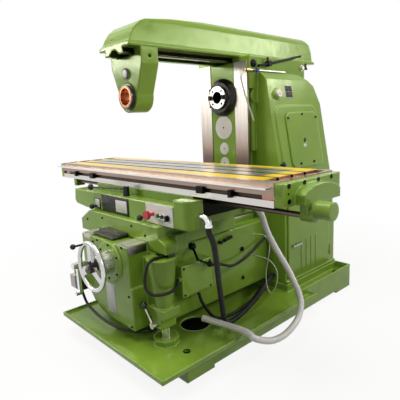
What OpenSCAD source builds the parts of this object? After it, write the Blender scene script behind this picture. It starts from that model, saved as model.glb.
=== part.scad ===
// Knee-type horizontal milling machine, sizes in millimetres.
// The origin is on the floor under the spindle axis, in the plane of the column's front slideway.
// +X is the operator's right along the table, +Y runs back through the column, +Z is up.

/* [Base] */
// base casting, from the spindle plane to its left side
base_left = 310; // [305:1:360]
// base casting, from the spindle plane to its right side
base_right = 500; // [480:1:525]
// base casting, from the slideway to its front end
base_front = 795; // [780:1:900]
// base casting, from the slideway to its back end
base_back = 630; // [625:1:680]
// chip tray, overhang past the base on the left
tray_over_left = 35; // [10:1:80]
// chip tray, overhang past the base on the right
tray_over_right = 48; // [10:1:80]
// chip tray, overhang past the base at the front
tray_over_front = 166; // [80:1:220]
// thickness of the chip tray's plate
tray_thick = 20; // [12:1:30]
// height of the tray's top above the floor
tray_top = 116; // [110:1:125]
// height of the column's seat above the floor
base_top = 147; // [135:1:160]
// round mouth of the coolant sump
sump_dia = 150; // [100:1:170]
// holes for the anchor bolts
anchor_dia = 22; // [16:1:30]
// anchor bolt spacing across the base
anchor_x = 730; // [720:1:738]
// anchor bolt spacing along the base
anchor_y = 1290; // [1200:1:1320]

/* [Column] */
// half-width over the two steel slideways
way_half = 192; // [180:1:193]
// width of each slideway
way_width = 95; // [70:1:110]
// thickness of each slideway
way_thick = 14; // [10:1:16]
// half-width of the neck behind the slideways
neck_half = 150; // [130:1:152]
// half-width of the column's foot on the left
foot_left = 268; // [262:1:275]
// half-width of the column's foot on the right
foot_right = 386; // [370:1:400]
// half-width of the column below its head
shoulder_half = 262; // [250:1:275]
// back face of the column
column_back = 600; // [580:1:600]
// back of the column's foot
foot_back = 620; // [605:1:624]
// half-width of the column's head
head_half = 205; // [190:1:215]

/* [Spindle] */
// height of the spindle axis above the floor
spindle_z = 1242; // [1225:1:1250]
// outside diameter of the spindle nose
nose_dia = 128.57; // [110:0.01:129]
// wide end of the steep taper
taper_dia = 69.85; // [50:0.01:75]
// circle of the nose's tapped holes
nose_circle = 101.6; // [95:0.1:104]
// tapping size of the nose's holes
nose_tap_dia = 14; // [10:0.1:16]
// hole for the draw bar
draw_bar_dia = 28; // [20:0.5:32]
// pitch radius of the spindle's gear
spindle_gear_r = 95; // [80:1:100]
// pitch radius of the motor's gear
motor_gear_r = 110; // [100:1:120]

/* [Overarm] */
// front end of the overarm, from the slideway
overarm_front = 719; // [700:1:800]
// back end of the overarm, from the slideway
overarm_back = 780; // [700:1:850]
// half-width of the overarm's flange
flange_half = 130; // [115:1:150]
// height of the crown above the flange
crown_height = 150; // [140:1:165]
// half-width of the dovetail at its widest
dovetail_half = 80; // [70:1:90]
// front face of the arbor support, from the slideway
support_front = 657; // [640:1:680]
// depth of the arbor support
support_depth = 96; // [80:1:110]
// bore of the arbor bush
bush_bore = 82; // [60:1:90]

/* [Knee] */
// front face of the knee, from the slideway
knee_front = 862; // [850:1:900]
// top of the knee above the floor
knee_top = 572; // [565:1:580]
// half-width of the knee's body
knee_half = 270; // [262:1:271]
// lowest part of the knee above the floor
knee_bottom = 172; // [166:1:190]
// cross-feed handwheel, outside diameter
wheel_dia = 246; // [200:1:255]
// radius of the cross-feed screw
cross_screw_r = 18; // [14:1:20]
// radius of the elevating screw
lift_screw_r = 20; // [16:1:24]
// radius of the brace post
post_r = 22; // [16:1:26]

/* [Saddle] */
// back end of the saddle, from the slideway
saddle_back = 250; // [244:1:300]
// half-length of the saddle's table guide
saddle_half = 420; // [380:1:425]
// front of the feed box, from the slideway
feed_box_front = 720; // [710:1:735]

/* [Table] */
// length of the table
table_len = 1710; // [1650:1:1800]
// width of the table
table_width = 400; // [396:1:440]
// middle of the table, from the slideway
table_y = 443; // [440:1:446]
// thickness of the table
table_thick = 94; // [90:1:100]
// height of the table's top above the floor
table_top = 885; // [883:1:890]
// width of a T-slot
slot_width = 18; // [14:1:22]
// spacing of the T-slots
slot_pitch = 93; // [80:1:100]
// radius of the table's lead screw
lead_screw_r = 12; // [10:0.5:13]
// radius of the table's feed shaft
feed_shaft_r = 11; // [8:0.5:11]

/* [Fits] */
// radial gap of a shaft that turns in its hole
running = 0.05; // [0.02:0.01:0.09]
// gap round a piece that moves without guidance
free_gap = 0.5; // [0.4:0.1:0.9]

/* [Hidden] */
$fn = 64;
far = 3000;
paint = [0.47, 0.62, 0.20];
steel = [0.72, 0.72, 0.70];
black = [0.08, 0.08, 0.08];
white = [0.92, 0.92, 0.90];
bronze = [0.72, 0.45, 0.25];
red = [0.85, 0.10, 0.12];

// levels of the base
tray_bottom = tray_top - tray_thick;
tray_floor = tray_bottom + 8;
tray_back = 150;
rim_wall = 8;
plinth = [12, 18];
anchor_mid = [75, -97];
sump_at = [275, -542];
sump_floor = 34;

// the column's outline
seat_y = 80;
shoulder_z = 640;
foot_top = 470;
brow_z = 1330;
crest_z = 1366;
head_top = 1429;
head_back = 545;
rail_top = 1459;
strip_half = way_half - way_width;
lean = atan((foot_right - shoulder_half) / (brow_z - shoulder_z));

// the drive inside the column
nose_reach = 47;
spindle_r = 55;
taper_depth = 101.8;
gear_y = 300;
gear_width = 45;
motor_r = 125;
motor_front = 355;
motor_back = 500;
motor_z = spindle_z - spindle_gear_r - motor_gear_r - free_gap;

// the overarm
flange_thick = 16;
flange_top = rail_top + flange_thick;
crown_top = flange_top + crown_height;
bush_r = 62;
support_back = support_front - support_depth;
tap_y = 44;
pipe_clear = 10;
pipe_x = max(head_half, way_half + pipe_clear) + 9;
pipe_z = 1376;
tap_x = pipe_x + 12;

// the hinges and lock of the cabinet door
lock_at = [171, 370];
hinge_at = [foot_right + 10, 553];
hinge_z = [215, 510];

// the knee and what stands in it
knee_step = 755;
shoulder_cut = 530;
slide_half = 212;
knee_gap = 1;
wheel_at = [48, -962, 471];
wheel_r = wheel_dia / 2 - 11;
handle_lead = 62;
handle_at = [wheel_at[0] - wheel_r * cos(handle_lead), wheel_at[1], wheel_at[2] + wheel_r * sin(handle_lead)];
crank_at = [74 - knee_half, 408];
lift_at = [-60, -400];
post_at = [knee_half + 35, -750];
post_top = 476;
nose_left = 48 - knee_half;
nose_right = knee_half - 53;
stop_box_at = [-26 - knee_half, -875];
stop_box_top = 325;
feed_at = [knee_half + 17, -545, 514];
clamp_at = [knee_half + 14, -345, 484];
gland_at = [knee_half + 56, -674, 390];

// the saddle and table
skirt_z = 535;
saddle_front = 755;
upper_front = 640;
upper_z = 655;
table_bottom = table_top - table_thick;
table_front = -table_y - table_width / 2;
table_back = -table_y + table_width / 2;
table_half = table_len / 2;
guide_rise = 20;
lead_z = table_bottom + 36;
feed_y = -532;
feed_z = 752;
groove_z = table_top - 59;
box_top = 752;
panel_x = [176, 373];
panel_thick = 4;
stop_at = [233, 703];
start_at = [272, 698];
jog_at = [300, 697];
selector_at = [338, 696];
lever_at = [-50, -682];
elbow_end = [534, -664, 674];
elbow_bend = 30;

// routes of the cords, each a list of points on its middle line
tube_route = [for (p = [[-46, -10], [-66, -24], [-72, -51], [-38, -143], [8, -236], [26, -275]])
    [pipe_x, p[0], pipe_z + p[1]]];
conduit_route = [elbow_end, elbow_end - [0, 0, 12], elbow_end - [0, 0, 24], [536, -650, 622], [532, -633, 580],
    [520, -611, 499], [498, -579, 384], [464, -534, 280], [428, -484, 158], [424, -445, 126], [418, -395, 122],
    [406, -320, 128], [380, -180, 150], [335, -40, 176], [300, 55, 186], [300, 68, 186], [300, 80, 186]];
box_cable_route = [[knee_half + 40, -540, 298], [knee_half + 40, -540, 289], [knee_half + 40, -540, 280],
    [knee_half + 46, -516, 210], [336, -462, 130],
    [362, -390, 118], [362, -230, 130], [310, -50, 154], [268, 56, 160], [268, 68, 160], [268, 80, 160]];
side_cable_route = [[knee_half + 30, -471, 395], [knee_half + 30, -463, 395], [knee_half + 30, -455, 395],
    [knee_half + 46, -390, 386], [knee_half + 42, -284, 350], [knee_half + 32, -157, 366], [292, -13, 418],
    [284, 58, 440], [284, 69, 440], [284, 80, 440]];
hose_route = [[saddle_half, -290, 700], [saddle_half + 14, -290, 700], [saddle_half + 28, -290, 700],
    [466, -278, 684], [480, -252, 645], [490, -224, 560], [505, -194, 488], [522, -160, 417], [545, -127, 344],
    [572, -107, 270], [592, -94, 210], [612, -106, 164], [630, -150, 118], [645, -226, 94], [650, -314, 82],
    [640, -398, 88], [620, -482, 126], [590, -490, 142], [540, -497, 148], [430, -520, 150], [345, -552, 160]];
stop_cable_route = [[nose_left - 40, -875, 255], [nose_left - 40, -875, 243],
    [nose_left - 36, -876, 225], [-200, -880, 176], [-65, -885, 152], [35, -882, 148], [110, -872, 148],
    [180, -845, 147], [knee_half - 48, -806, 146], [knee_half - 36, -775, 147], [knee_half - 34, -748, 155],
    [knee_half - 34, -735, knee_bottom + 2]];
loop_cable_route = [for (p = [[17, 12, 526], [17, -25, 526], [17, -62, 525], [17, -88, 505], [11, -102, 450],
    [17, -104, 404], [43, -88, 378], [69, -40, 374], [73, 5, 378], [57, 38, 384], [33, 58, 389], [22, 69, 390],
    [21, 76, 390]]) [post_at[0] + p[0], post_at[1] + p[1], p[2]]];
oil_line_route = [[knee_half, -70, 470], [knee_half + 12, -70, 470], [knee_half + 24, -70, 470], [360, -85, 480],
    [405, -98, 455], [411, -100, 420], [396, -100, 336], [384, -100, 271], [388, -100, 200], [413, -100, 162],
    [445, -100, 198], [461, -100, 264], [452, -100, 310], [417, -100, 345], [380, -100, 355], [348, -100, 356],
    [knee_half + 24, -100, 356], [knee_half + 12, -100, 356], [knee_half, -100, 356]];

// Shared shapes
module block(x, y, z)
    translate([x[0], y[0], z[0]]) cube([x[1] - x[0], y[1] - y[0], z[1] - z[0]]);

module rod_x(r, x, y, z)
    translate([x[0], y, z]) rotate([0, 90, 0]) cylinder(r = r, h = x[1] - x[0]);

module rod_y(r, x, y, z)
    translate([x, y[0], z]) rotate([-90, 0, 0]) cylinder(r = r, h = y[1] - y[0]);

module rod_z(r, x, y, z)
    translate([x, y, z[0]]) cylinder(r = r, h = z[1] - z[0]);

// a flat outline in the front view, carried from y[0] back to y[1]
module slab_xz(outline, y)
    translate([0, y[1], 0]) rotate([90, 0, 0]) linear_extrude(y[1] - y[0]) polygon(outline);

// a flat outline in the side view, carried from x[0] right to x[1]
module slab_yz(outline, x)
    translate([x[0], 0, 0]) rotate([90, 0, 90]) linear_extrude(x[1] - x[0]) polygon(outline);

// a turned outline of [radius, distance along Y] points round an axis that runs along Y
module turned_y(outline, x, z)
    translate([x, 0, z]) rotate([-90, 0, 0]) rotate_extrude() polygon(outline);

// a round bar from one point to another
module bar(from, to, r) {
    run = to - from;
    translate(from)
        rotate([0, acos(run[2] / norm(run)), atan2(run[1], run[0])])
            cylinder(r = r, h = norm(run));
}

// a round stem from one point to another, turned in one piece with a ball about its far end
module ball_lever(from, to, stem, ball) {
    run = to - from;
    start = asin(stem / ball);
    arc = [for (step = [0 : 9]) start + (180 - start) * step / 10];
    translate(from)
        rotate([0, acos(run[2] / norm(run)), atan2(run[1], run[0])])
            rotate_extrude()
                polygon(concat([[0, 0], [stem, 0]],
                    [for (a = arc) [ball * sin(a), norm(run) - ball * cos(a)]],
                    [[0, norm(run) + ball]]));
}

// a flat plate across X with rounded corners
module round_plate(x, y, z, r) {
    block(x, [y[0] + r, y[1] - r], z);
    block(x, y, [z[0] + r, z[1] - r]);
    for (at_y = [y[0] + r, y[1] - r], at_z = [z[0] + r, z[1] - r])
        rod_x(r, x, at_y, at_z);
}

module both_sides() {
    children();
    mirror([1, 0, 0]) children();
}

// a frame on the column's leaning right side: local x points out and local z climbs
module on_slope()
    translate([foot_right, 0, shoulder_z]) rotate([0, -lean, 0]) children();

// Tubes along a route
function between(a, b, c, d, t) =
    0.5 * (2 * b + (c - a) * t + (2 * a - 5 * b + 4 * c - d) * t * t + (3 * b - a - 3 * c + d) * t * t * t);

function smooth(route, n) = concat(
    [for (i = [0 : len(route) - 2], k = [0 : n - 1])
        between(route[max(i - 1, 0)], route[i], route[i + 1], route[min(i + 2, len(route) - 1)], k / n)],
    [route[len(route) - 1]]);

// distance along a path at each of its points
function gone(path) = [for (i = 0, s = 0; i < len(path);
    s = s + (i + 1 < len(path) ? norm(path[i + 1] - path[i]) : 0), i = i + 1) s];

// the same path with its points evenly spaced
function even(path, count) =
    let (at = gone(path), last = len(path) - 1)
    [for (k = [0 : count - 1])
        [for (axis = [0 : 2])
            lookup(at[last] * k / (count - 1), [for (i = [0 : last]) [at[i], path[i][axis]]])]];

function unit(v) = v / norm(v);

function heading(path, i) = unit(path[min(i + 1, len(path) - 1)] - path[max(i - 1, 0)]);

function ring(path, i, r, sides, side_on) =
    let (t = heading(path, i), u = unit(cross(t, side_on)), v = cross(u, t))
    [for (s = [0 : sides - 1]) path[i] + r * (cos(360 * s / sides) * u + sin(360 * s / sides) * v)];

function wall(first, rings, sides, flip) = [
    for (i = [0 : rings - 2], s = [0 : sides - 1])
        let (a = first + i * sides + s, b = first + i * sides + (s + 1) % sides)
            for (tri = [[a, b, b + sides], [a, b + sides, a + sides]])
                flip ? [tri[2], tri[1], tri[0]] : tri];

// a solid tube whose radius at ring i is radii[i]
module tube(path, radii, sides, side_on) {
    rings = len(path);
    points = [for (i = [0 : rings - 1]) each ring(path, i, radii[i], sides, side_on)];
    polyhedron(points, concat(
        [[for (s = [sides - 1 : -1 : 0]) s]],
        wall(0, rings, sides, false),
        [[for (s = [0 : sides - 1]) (rings - 1) * sides + s]]));
}

// a tube with a bore through it
module pipe(path, radii, bore, sides, side_on) {
    rings = len(path);
    count = rings * sides;
    outside = [for (i = [0 : rings - 1]) each ring(path, i, radii[i], sides, side_on)];
    inside = [for (i = [0 : rings - 1]) each ring(path, i, bore, sides, side_on)];
    mouth = [for (s = [0 : sides - 1])
        let (n = (s + 1) % sides)
            for (tri = [[s, count + s, count + n], [s, count + n, n]]) tri];
    end = (rings - 1) * sides;
    tail = [for (s = [0 : sides - 1])
        let (n = (s + 1) % sides)
            for (tri = [[end + s, end + n, count + end + n], [end + s, count + end + n, count + end + s]]) tri];
    polyhedron(concat(outside, inside),
        concat(mouth, wall(0, rings, sides, false), wall(count, rings, sides, true), tail));
}

module cord(route, r, n, sides, side_on) {
    path = smooth(route, n);
    tube(path, [for (p = path) r], sides, side_on);
}

// Frame of the machine
// Base casting with its chip tray, gutter, sump mouth and the octagonal pedestal of the brace post.
module base() color(paint) difference() {
    union() {
        block([-base_left, base_right], [-base_front, base_back], [0, tray_bottom]);
        tray();
        block([-base_left, base_right], [seat_y - 5, base_back], [tray_bottom, base_top]);
        translate([post_at[0], post_at[1], tray_floor])
            cylinder(r = 62, h = tray_top + 18 - tray_floor, $fn = 8);
    }
    for (x = [-1, 1], y = [-1, 1])
        rod_z(anchor_dia / 2, anchor_mid[0] + x * anchor_x / 2, anchor_mid[1] + y * anchor_y / 2, [-1, far]);
    rod_z(sump_dia / 2, sump_at[0], sump_at[1], [sump_floor, tray_top + 1]);
    rod_z(lift_screw_r + 5, lift_at[0], lift_at[1], [3, tray_top + 1]);
    for (x = [[-base_left - 1, -base_left + 60], [base_right - 60, base_right + 1]])
        block(x, [-base_front + 165, base_back - 170], [-1, 16]);
    block([foot_right + plinth[0] + 4, base_right - rim_wall], [seat_y - 6, base_back - rim_wall],
        [tray_floor, base_top + 1]);
}

// chip tray with an upright rim all round
module tray() difference() {
    left = -base_left - tray_over_left;
    right = base_right + tray_over_right;
    front = -base_front - tray_over_front;
    block([left, right], [front, tray_back], [tray_bottom, tray_top]);
    block([left + rim_wall, right - rim_wall], [front + rim_wall, tray_back - rim_wall],
        [tray_floor, tray_top + 1]);
}

// Column casting: leaning sides, neck for the slideways and a head with the overarm's dovetail rails.
module column() color(paint) difference() {
    union() {
        column_shell();
        block([-foot_left, foot_right], [column_back - 1, foot_back], [base_top, foot_top]);
        block([-foot_left, foot_right + plinth[0]], [seat_y, foot_back], [base_top, base_top + plinth[1]]);
        block([-neck_half, neck_half], [way_thick, seat_y + 1], [base_top, head_top]);
        block([-strip_half, strip_half], [4, way_thick + 1], [base_top, head_top]);
        block([-head_half, head_half], [way_thick, head_back], [crest_z - 86, head_top]);
        both_sides() dovetail_rail();
        both_sides() neck_bead();
        on_slope() round_plate([-6, 8], [112, 530], [150, 545], 50);
        on_slope() rod_x(30, [-6, 10], 155, 612);
        for (z = hinge_z)
            hinge_stub(z);
    }
    block([-170, 170], [140, motor_back], [300, 1345]);
    block([-230, 225], [115, column_back - 35], [base_top + 33, 780]);
    rod_y(95, 0, [-1, 141], spindle_z);
    rod_y(80, 0, [motor_back - 1, far], spindle_z);
    block([240, foot_right + 1], [125, 520], [200, 595]);
}

// leaning shell of the column, sloped off at the top of its back
module column_shell() difference() {
    slab_xz([[-foot_left, base_top], [foot_right, base_top], [foot_right, shoulder_z],
        [shoulder_half, brow_z], [shoulder_half - 32, crest_z], [32 - shoulder_half, crest_z],
        [-shoulder_half, brow_z], [-foot_left, shoulder_z]], [seat_y, column_back]);
    slab_yz([[430, crest_z], [550, 1296], [column_back + 1, 1183], [column_back + 1, crest_z + 1],
        [430, crest_z + 1]], [-far, far]);
}

// fixed half of a door hinge with its pin
module hinge_stub(z) {
    rod_z(7, hinge_at[0], hinge_at[1], [z, z + 34]);
    rod_z(4, hinge_at[0], hinge_at[1], [z + 33, z + 66]);
    block([foot_right - 1, hinge_at[0]], [hinge_at[1] - 4, hinge_at[1] + 4], [z, z + 34]);
}

module dovetail_rail()
    slab_xz([[dovetail_half + free_gap, head_top - 1], [head_half, head_top - 1], [head_half, rail_top],
        [dovetail_half - 10 + free_gap, rail_top], [dovetail_half + free_gap, head_top]],
        [way_thick, head_back]);

module neck_bead() {
    rod_z(20, neck_half + 22, 62, [930, crest_z - 80]);
    block([neck_half - 1, neck_half + 24], [50, seat_y + 1], [930, crest_z - 80]);
    rod_x(42, [neck_half - 1, neck_half + 50], 70, spindle_z);
}

// Two ground slideways on the column's front.
module column_ways() color(steel)
    both_sides()
        block([strip_half, way_half], [0, way_thick], [base_top + 40, head_top]);

// Black cover over the front spindle bearing.
module spindle_cover() color(black)
    turned_y([[nose_dia / 2 + 2, -30], [86, -30], [104, -14], [108, -6], [108, 0], [nose_dia / 2 + 2, 0]],
        0, spindle_z);

// Round caps over the shaft bores in the strip below the spindle.
module strip_discs() color(white)
    for (disc = [[1067, 68], [942, 36], [854, 36]])
        rod_y(disc[1], 0, [1, 4], disc[0]);

// Spindle bearings, a large one at the nose and a small one at the back wall.
module spindle_bearings() color(steel)
    for (bearing = [[95, 20, 70], [80, motor_back + 8, motor_back + 48]])
        turned_y([[spindle_r + running, bearing[1]], [bearing[0], bearing[1]], [bearing[0], bearing[2]],
            [spindle_r + running, bearing[2]]], 0, spindle_z);

// Flanged drive motor on the column's back wall.
module main_motor() color(steel) difference() {
    union() {
        rod_y(motor_r, 0, [motor_front, motor_back], motor_z);
        rod_y(motor_r + 20, 0, [motor_back - 18, motor_back], motor_z);
    }
    rod_y(20 + running, 0, [motor_front - 1, motor_front + 70], motor_z);
}

// Inspection cover on the gearbox side.
module gearbox_cover() color(paint) difference() {
    on_slope() round_plate([8, 16], [190, 512], [176, 505], 40);
    on_slope() rod_x(15, [0, 30], 343, 333);
}

// Back plate of the electrics with its contactors and rails.
module electrics_panel() color([0.8, 0.8, 0.78]) {
    block([240, 246], [150, 495], [225, 570]);
    for (row = [0 : 2], item = [0 : 3])
        block([246, 300], [180 + item * 75, 235 + item * 75], [250 + row * 105, 320 + row * 105]);
}

// Oil sight glass on a round boss.
module sight_glass() color(white)
    on_slope() rod_x(21, [10, 24], 155, 612);

// Coolant pipe along the head with a brass fitting at its front end.
module coolant_pipe() color(bronze) {
    rod_y(7, pipe_x, [-30, 322], pipe_z);
    rod_y(12, pipe_x, [-34, 0], pipe_z);
    for (y = [18, 296])
        block([head_half, pipe_x], [y, y + 14], [pipe_z - 7, pipe_z + 7]);
    rod_z(8, pipe_x, -46, [pipe_z - 10, pipe_z + 8]);
    rod_y(8, pipe_x, [-46, -30], pipe_z);
    rod_x(7, [pipe_x, tap_x], tap_y, pipe_z);
}

// Thin coolant tube hanging from the fitting.
module coolant_tube() color(white)
    cord(tube_route, 4.5, 3, 8, [1, 0, 0]);

// Steel post that braces the knee, standing on its pedestal.
module brace_post() color(steel)
    rod_z(post_r, post_at[0], post_at[1], [tray_top + 18, post_top]);

// Column of the elevating nut, standing on the tray inside the knee.
module elevating_nut() color(bronze) difference() {
    union() {
        rod_z(45, lift_at[0], lift_at[1], [tray_floor, 440]);
        rod_z(75, lift_at[0], lift_at[1], [tray_floor, tray_top + 22]);
    }
    rod_z(lift_screw_r + running, lift_at[0], lift_at[1], [tray_floor - 1, 441]);
}

// Spindle and drive
// Spindle with its steep taper, nose slots and tapped holes.
module spindle() color(steel) difference() {
    turned_y([[taper_dia / 2, -nose_reach], [nose_dia / 2, -nose_reach], [nose_dia / 2, 6], [spindle_r, 6],
        [spindle_r, motor_back + 78], [draw_bar_dia / 2, motor_back + 78],
        [draw_bar_dia / 2, taper_depth - nose_reach],
        [taper_dia / 2 - taper_depth * 7 / 48, taper_depth - nose_reach]], 0, spindle_z);
    for (turn = [45 : 90 : 315])
        translate([0, 0, spindle_z]) rotate([0, turn, 0])
            rod_y(nose_tap_dia / 2, nose_circle / 2, [-nose_reach - 1, -nose_reach + 28], 0);
    both_sides() nose_key(0);
}

module nose_key(proud)
    block([44, nose_dia / 2 - 1.5], [-nose_reach - proud, -nose_reach + 14],
        [spindle_z - 12.7, spindle_z + 12.7]);

// Two drive keys in the nose.
module drive_keys() color(black)
    both_sides() nose_key(12);

// Gear on the spindle, drawn as its pitch disc.
module spindle_gear() color(steel)
    turned_y([[spindle_r + running, gear_y], [spindle_gear_r, gear_y], [spindle_gear_r, gear_y + gear_width],
        [spindle_r + running, gear_y + gear_width]], 0, spindle_z);

// Motor shaft with its gear, drawn as its pitch disc.
module motor_rotor() color(steel) {
    rod_y(20, 0, [gear_y - 10, motor_front + 65], motor_z);
    rod_y(motor_gear_r, 0, [gear_y, gear_y + gear_width], motor_z);
}

// Overarm and arbor support
// Overarm: crowned casting on a dovetail, falling to a rounded nose at the front and rounded off at the back.
module overarm() color(paint) difference() {
    slab_xz(concat(overarm_half(1), overarm_half(-1)), [-overarm_front, overarm_back]);
    slab_yz([for (p = [[-1, -148], [13, -135], [27, -105], [47, -78], [79, -52], [113, -39], [259, -22],
        [529, -4], [640, 0.01], [-1, 1]]) [p[0] - overarm_front, p[1] + crown_top]], [-far, far]);
    slab_yz([[overarm_back - 120, crown_top + 1], [overarm_back - 70, crown_top - 10],
        [overarm_back - 30, crown_top - 42], [overarm_back - 12, crown_top - 90],
        [overarm_back - 8, flange_top], [overarm_back + 1, flange_top], [overarm_back + 1, crown_top + 1]],
        [-far, far]);
}

// right or left half of the overarm's section, listed so that the two halves join into one outline
function overarm_half(s) =
    let (half = [[15, rail_top - 6], [44, rail_top - 29], [dovetail_half, rail_top - 29],
        [dovetail_half - 10, rail_top], [flange_half, rail_top], [flange_half, flange_top],
        [flange_half - 12, flange_top], [flange_half - 22, crown_top - 42],
        [flange_half - 32, crown_top - 20], [flange_half - 48, crown_top - 6], [flange_half - 70, crown_top]])
    s > 0 ? half : [for (i = [len(half) - 1 : -1 : 0]) [-half[i][0], half[i][1]]];

// Arbor support hung from the overarm's dovetail.
module arbor_support() color(paint) difference() {
    union() {
        slab_xz([[-flange_half, rail_top], [-flange_half, rail_top - 76], [-76, spindle_z + 10],
            [76, spindle_z + 10], [flange_half, rail_top - 76], [flange_half, rail_top]],
            [-support_front, -support_back]);
        rod_y(76, 0, [-support_front, -support_back], spindle_z);
        rod_y(24, 0, [-support_front - 6, -support_front + 1], spindle_z + 108);
    }
    slab_xz([[-dovetail_half - free_gap, rail_top - 30], [dovetail_half + free_gap, rail_top - 30],
        [dovetail_half - 10 + free_gap, rail_top + 0.01], [10 - dovetail_half - free_gap, rail_top + 0.01]],
        [-support_front - 1, -support_back + 1]);
    rod_y(bush_r, 0, [-support_front - 1, -support_back + 1], spindle_z);
    rod_x(9, [60, far], -support_front + 48, rail_top - 40);
}

// Bronze bush for the arbor's outer end.
module arbor_bush() color(bronze)
    turned_y([[bush_bore / 2, -support_front - 20], [bush_r - 6, -support_front - 20],
        [bush_r - 6, -support_front - 8], [bush_r, -support_front - 8], [bush_r, -support_back - 6],
        [bush_bore / 2, -support_back - 6]], 0, spindle_z);

// Lever that locks the overarm.
module overarm_lever() color(black) {
    rod_x(16, [head_half, head_half + 30], 160, 1416);
    bar([head_half + 20, 160, 1416], [head_half + 20, 62, 1400], 7);
    bar([head_half + 20, 160, 1416], [head_half + 20, 475, 1478], 7);
    rod_z(6, head_half + 20, 146, [1416, 1450]);
}

// Tap on the coolant pipe.
module coolant_valve() color([0.15, 0.25, 0.6]) {
    rod_x(10, [tap_x, tap_x + 14], tap_y, pipe_z);
    block([tap_x + 5, tap_x + 11], [tap_y - 5, tap_y + 5], [pipe_z - 24, pipe_z + 2]);
}

// Door of the electrics cabinet with pressed ribs.
module cabinet_door() color(paint) difference() {
    union() {
        block([foot_right + free_gap, foot_right + 10], [100, 545], [175, 620]);
        for (rib = [0 : 3])
            block([foot_right + 9, foot_right + 13], [223 + rib * 52, 233 + rib * 52], [200, 386]);
        for (z = hinge_z) {
            rod_z(7, hinge_at[0], hinge_at[1], [z + 34 + free_gap, z + 68]);
            block([foot_right + 4, foot_right + 10], [544, hinge_at[1]], [z + 34 + free_gap, z + 68]);
        }
    }
    rod_x(9 + running, [0, far], lock_at[0], lock_at[1]);
    for (z = hinge_z)
        rod_z(4 + running, hinge_at[0], hinge_at[1], [z, z + 69]);
}

// Quarter-turn lock of the cabinet door with its cross handle and latch.
module door_lock() color(steel) {
    rod_x(9, [foot_right - 6, foot_right + 24], lock_at[0], lock_at[1]);
    block([foot_right + 14, foot_right + 24], [lock_at[0] - 44, lock_at[0] + 44],
        [lock_at[1] - 6, lock_at[1] + 6]);
    block([foot_right - 6, foot_right - 2], [132, lock_at[0] + 5], [lock_at[1] - 9, lock_at[1] + 9]);
}

// Knee
// Knee casting: body on the slideways, narrower front box, handwheel flange and the sleeve of the brace post.
module knee() color(paint) difference() {
    union() {
        block([-knee_half, knee_half], [-knee_step, -knee_gap], [knee_bottom, shoulder_cut]);
        block([-slide_half, slide_half], [-knee_step, -knee_gap], [shoulder_cut - 1, knee_top - 6]);
        both_sides()
            block([way_half + 2, knee_half], [-knee_gap - 1, 50], [knee_bottom, shoulder_cut]);
        slab_xz([[nose_left, knee_top - 6], [nose_left, 330], [nose_left + 30, 261], [nose_left + 72, 216],
            [nose_left + 132, 184], [nose_left + 192, 170], [48, knee_bottom - 6], [nose_right, knee_bottom - 6],
            [nose_right, 371], [nose_right - 12, 371], [nose_right - 12, knee_top - 6]],
            [-knee_front, -knee_step + 1]);
        rod_y(98, wheel_at[0], [-knee_front - 10, -knee_front + 1], wheel_at[2]);
        post_sleeve();
    }
    knee_hollows();
}

// Sleeve round the brace post, with its flange and split clamp below.
module post_sleeve() {
    translate([post_at[0], post_at[1], 280]) cylinder(r1 = 42, r2 = 70, h = 238);
    block([knee_half - 70, post_at[0]], [post_at[1] - 30, post_at[1] + 40], [240, 505]);
    block([post_at[0] - 52, post_at[0] + 52], [post_at[1] - 50, post_at[1] + 50], [238, 285]);
    block([post_at[0] - 36, post_at[0] + 36], [post_at[1] - 50, post_at[1] + 36], [190, 239]);
}

module knee_hollows() {
    block([45 - knee_half, knee_half - 45], [-690, -245], [knee_bottom - 10, 520]);
    block([-160, 160], [-205, -40], [knee_bottom - 10, 520]);
    block([wheel_at[0] - 33, wheel_at[0] + 33], [-600, -250], [430, knee_top + 1]);
    rod_y(cross_screw_r + running, wheel_at[0], [-knee_front - 11, -225], wheel_at[2]);
    rod_y(14 + running, crank_at[0], [-knee_front - 1, -700], crank_at[1]);
    rod_z(lift_screw_r + running, lift_at[0], lift_at[1], [519, 545]);
    rod_z(post_r + running, post_at[0], post_at[1], [180, post_top + 46]);
    rod_y(8 + running, post_at[0], [post_at[1] - 51, post_at[1] - post_r - 6], 212);
    rod_x(9 + running, [knee_half - 40, knee_half + 1], feed_at[1], feed_at[2]);
    rod_x(8 + running, [knee_half - 40, knee_half + 1], clamp_at[1], clamp_at[2]);
}

// Ground ways on the knee's top and the two keeper strips at the back.
module knee_ways() color(steel) {
    for (x = [[-slide_half, -125], [108, slide_half]])
        block(x, [-knee_front, -knee_gap], [knee_top - 6, knee_top]);
    both_sides()
        block([neck_half + 6, way_half + 2], [way_thick + 2, 46], [knee_bottom + 10, shoulder_cut - 10]);
}

// Switch box on the knee's right side with its cable gland.
module junction_box() color(paint) {
    block([knee_half, knee_half + 70], [-662, -471], [298, 452]);
    rod_y(10, gland_at[0], [gland_at[1], -661], gland_at[2]);
}

// Stop box on the knee's left side and the limit switch on top of the sleeve.
module switch_boxes() color(black) difference() {
    union() {
        block([nose_left - 108, nose_left], [-905, -845], [255, stop_box_top]);
        block([post_at[0] - 5, post_at[0] + 40], [-738, -698], [518, 533]);
    }
    rod_z(8 + free_gap, stop_box_at[0], stop_box_at[1], [stop_box_top - 16, stop_box_top + 1]);
}

// Lines on the knee: the stop box's lead, the loop to the switch box and the thin oil line.
module knee_cables() color(black) {
    cord(stop_cable_route, 7, 2, 8, [0, 0.3, 1]);
    cord(loop_cable_route, 7, 3, 8, [1, 0.2, 0]);
    cord(oil_line_route, 2.5, 2, 6, [0, 1, 0]);
}

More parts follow.
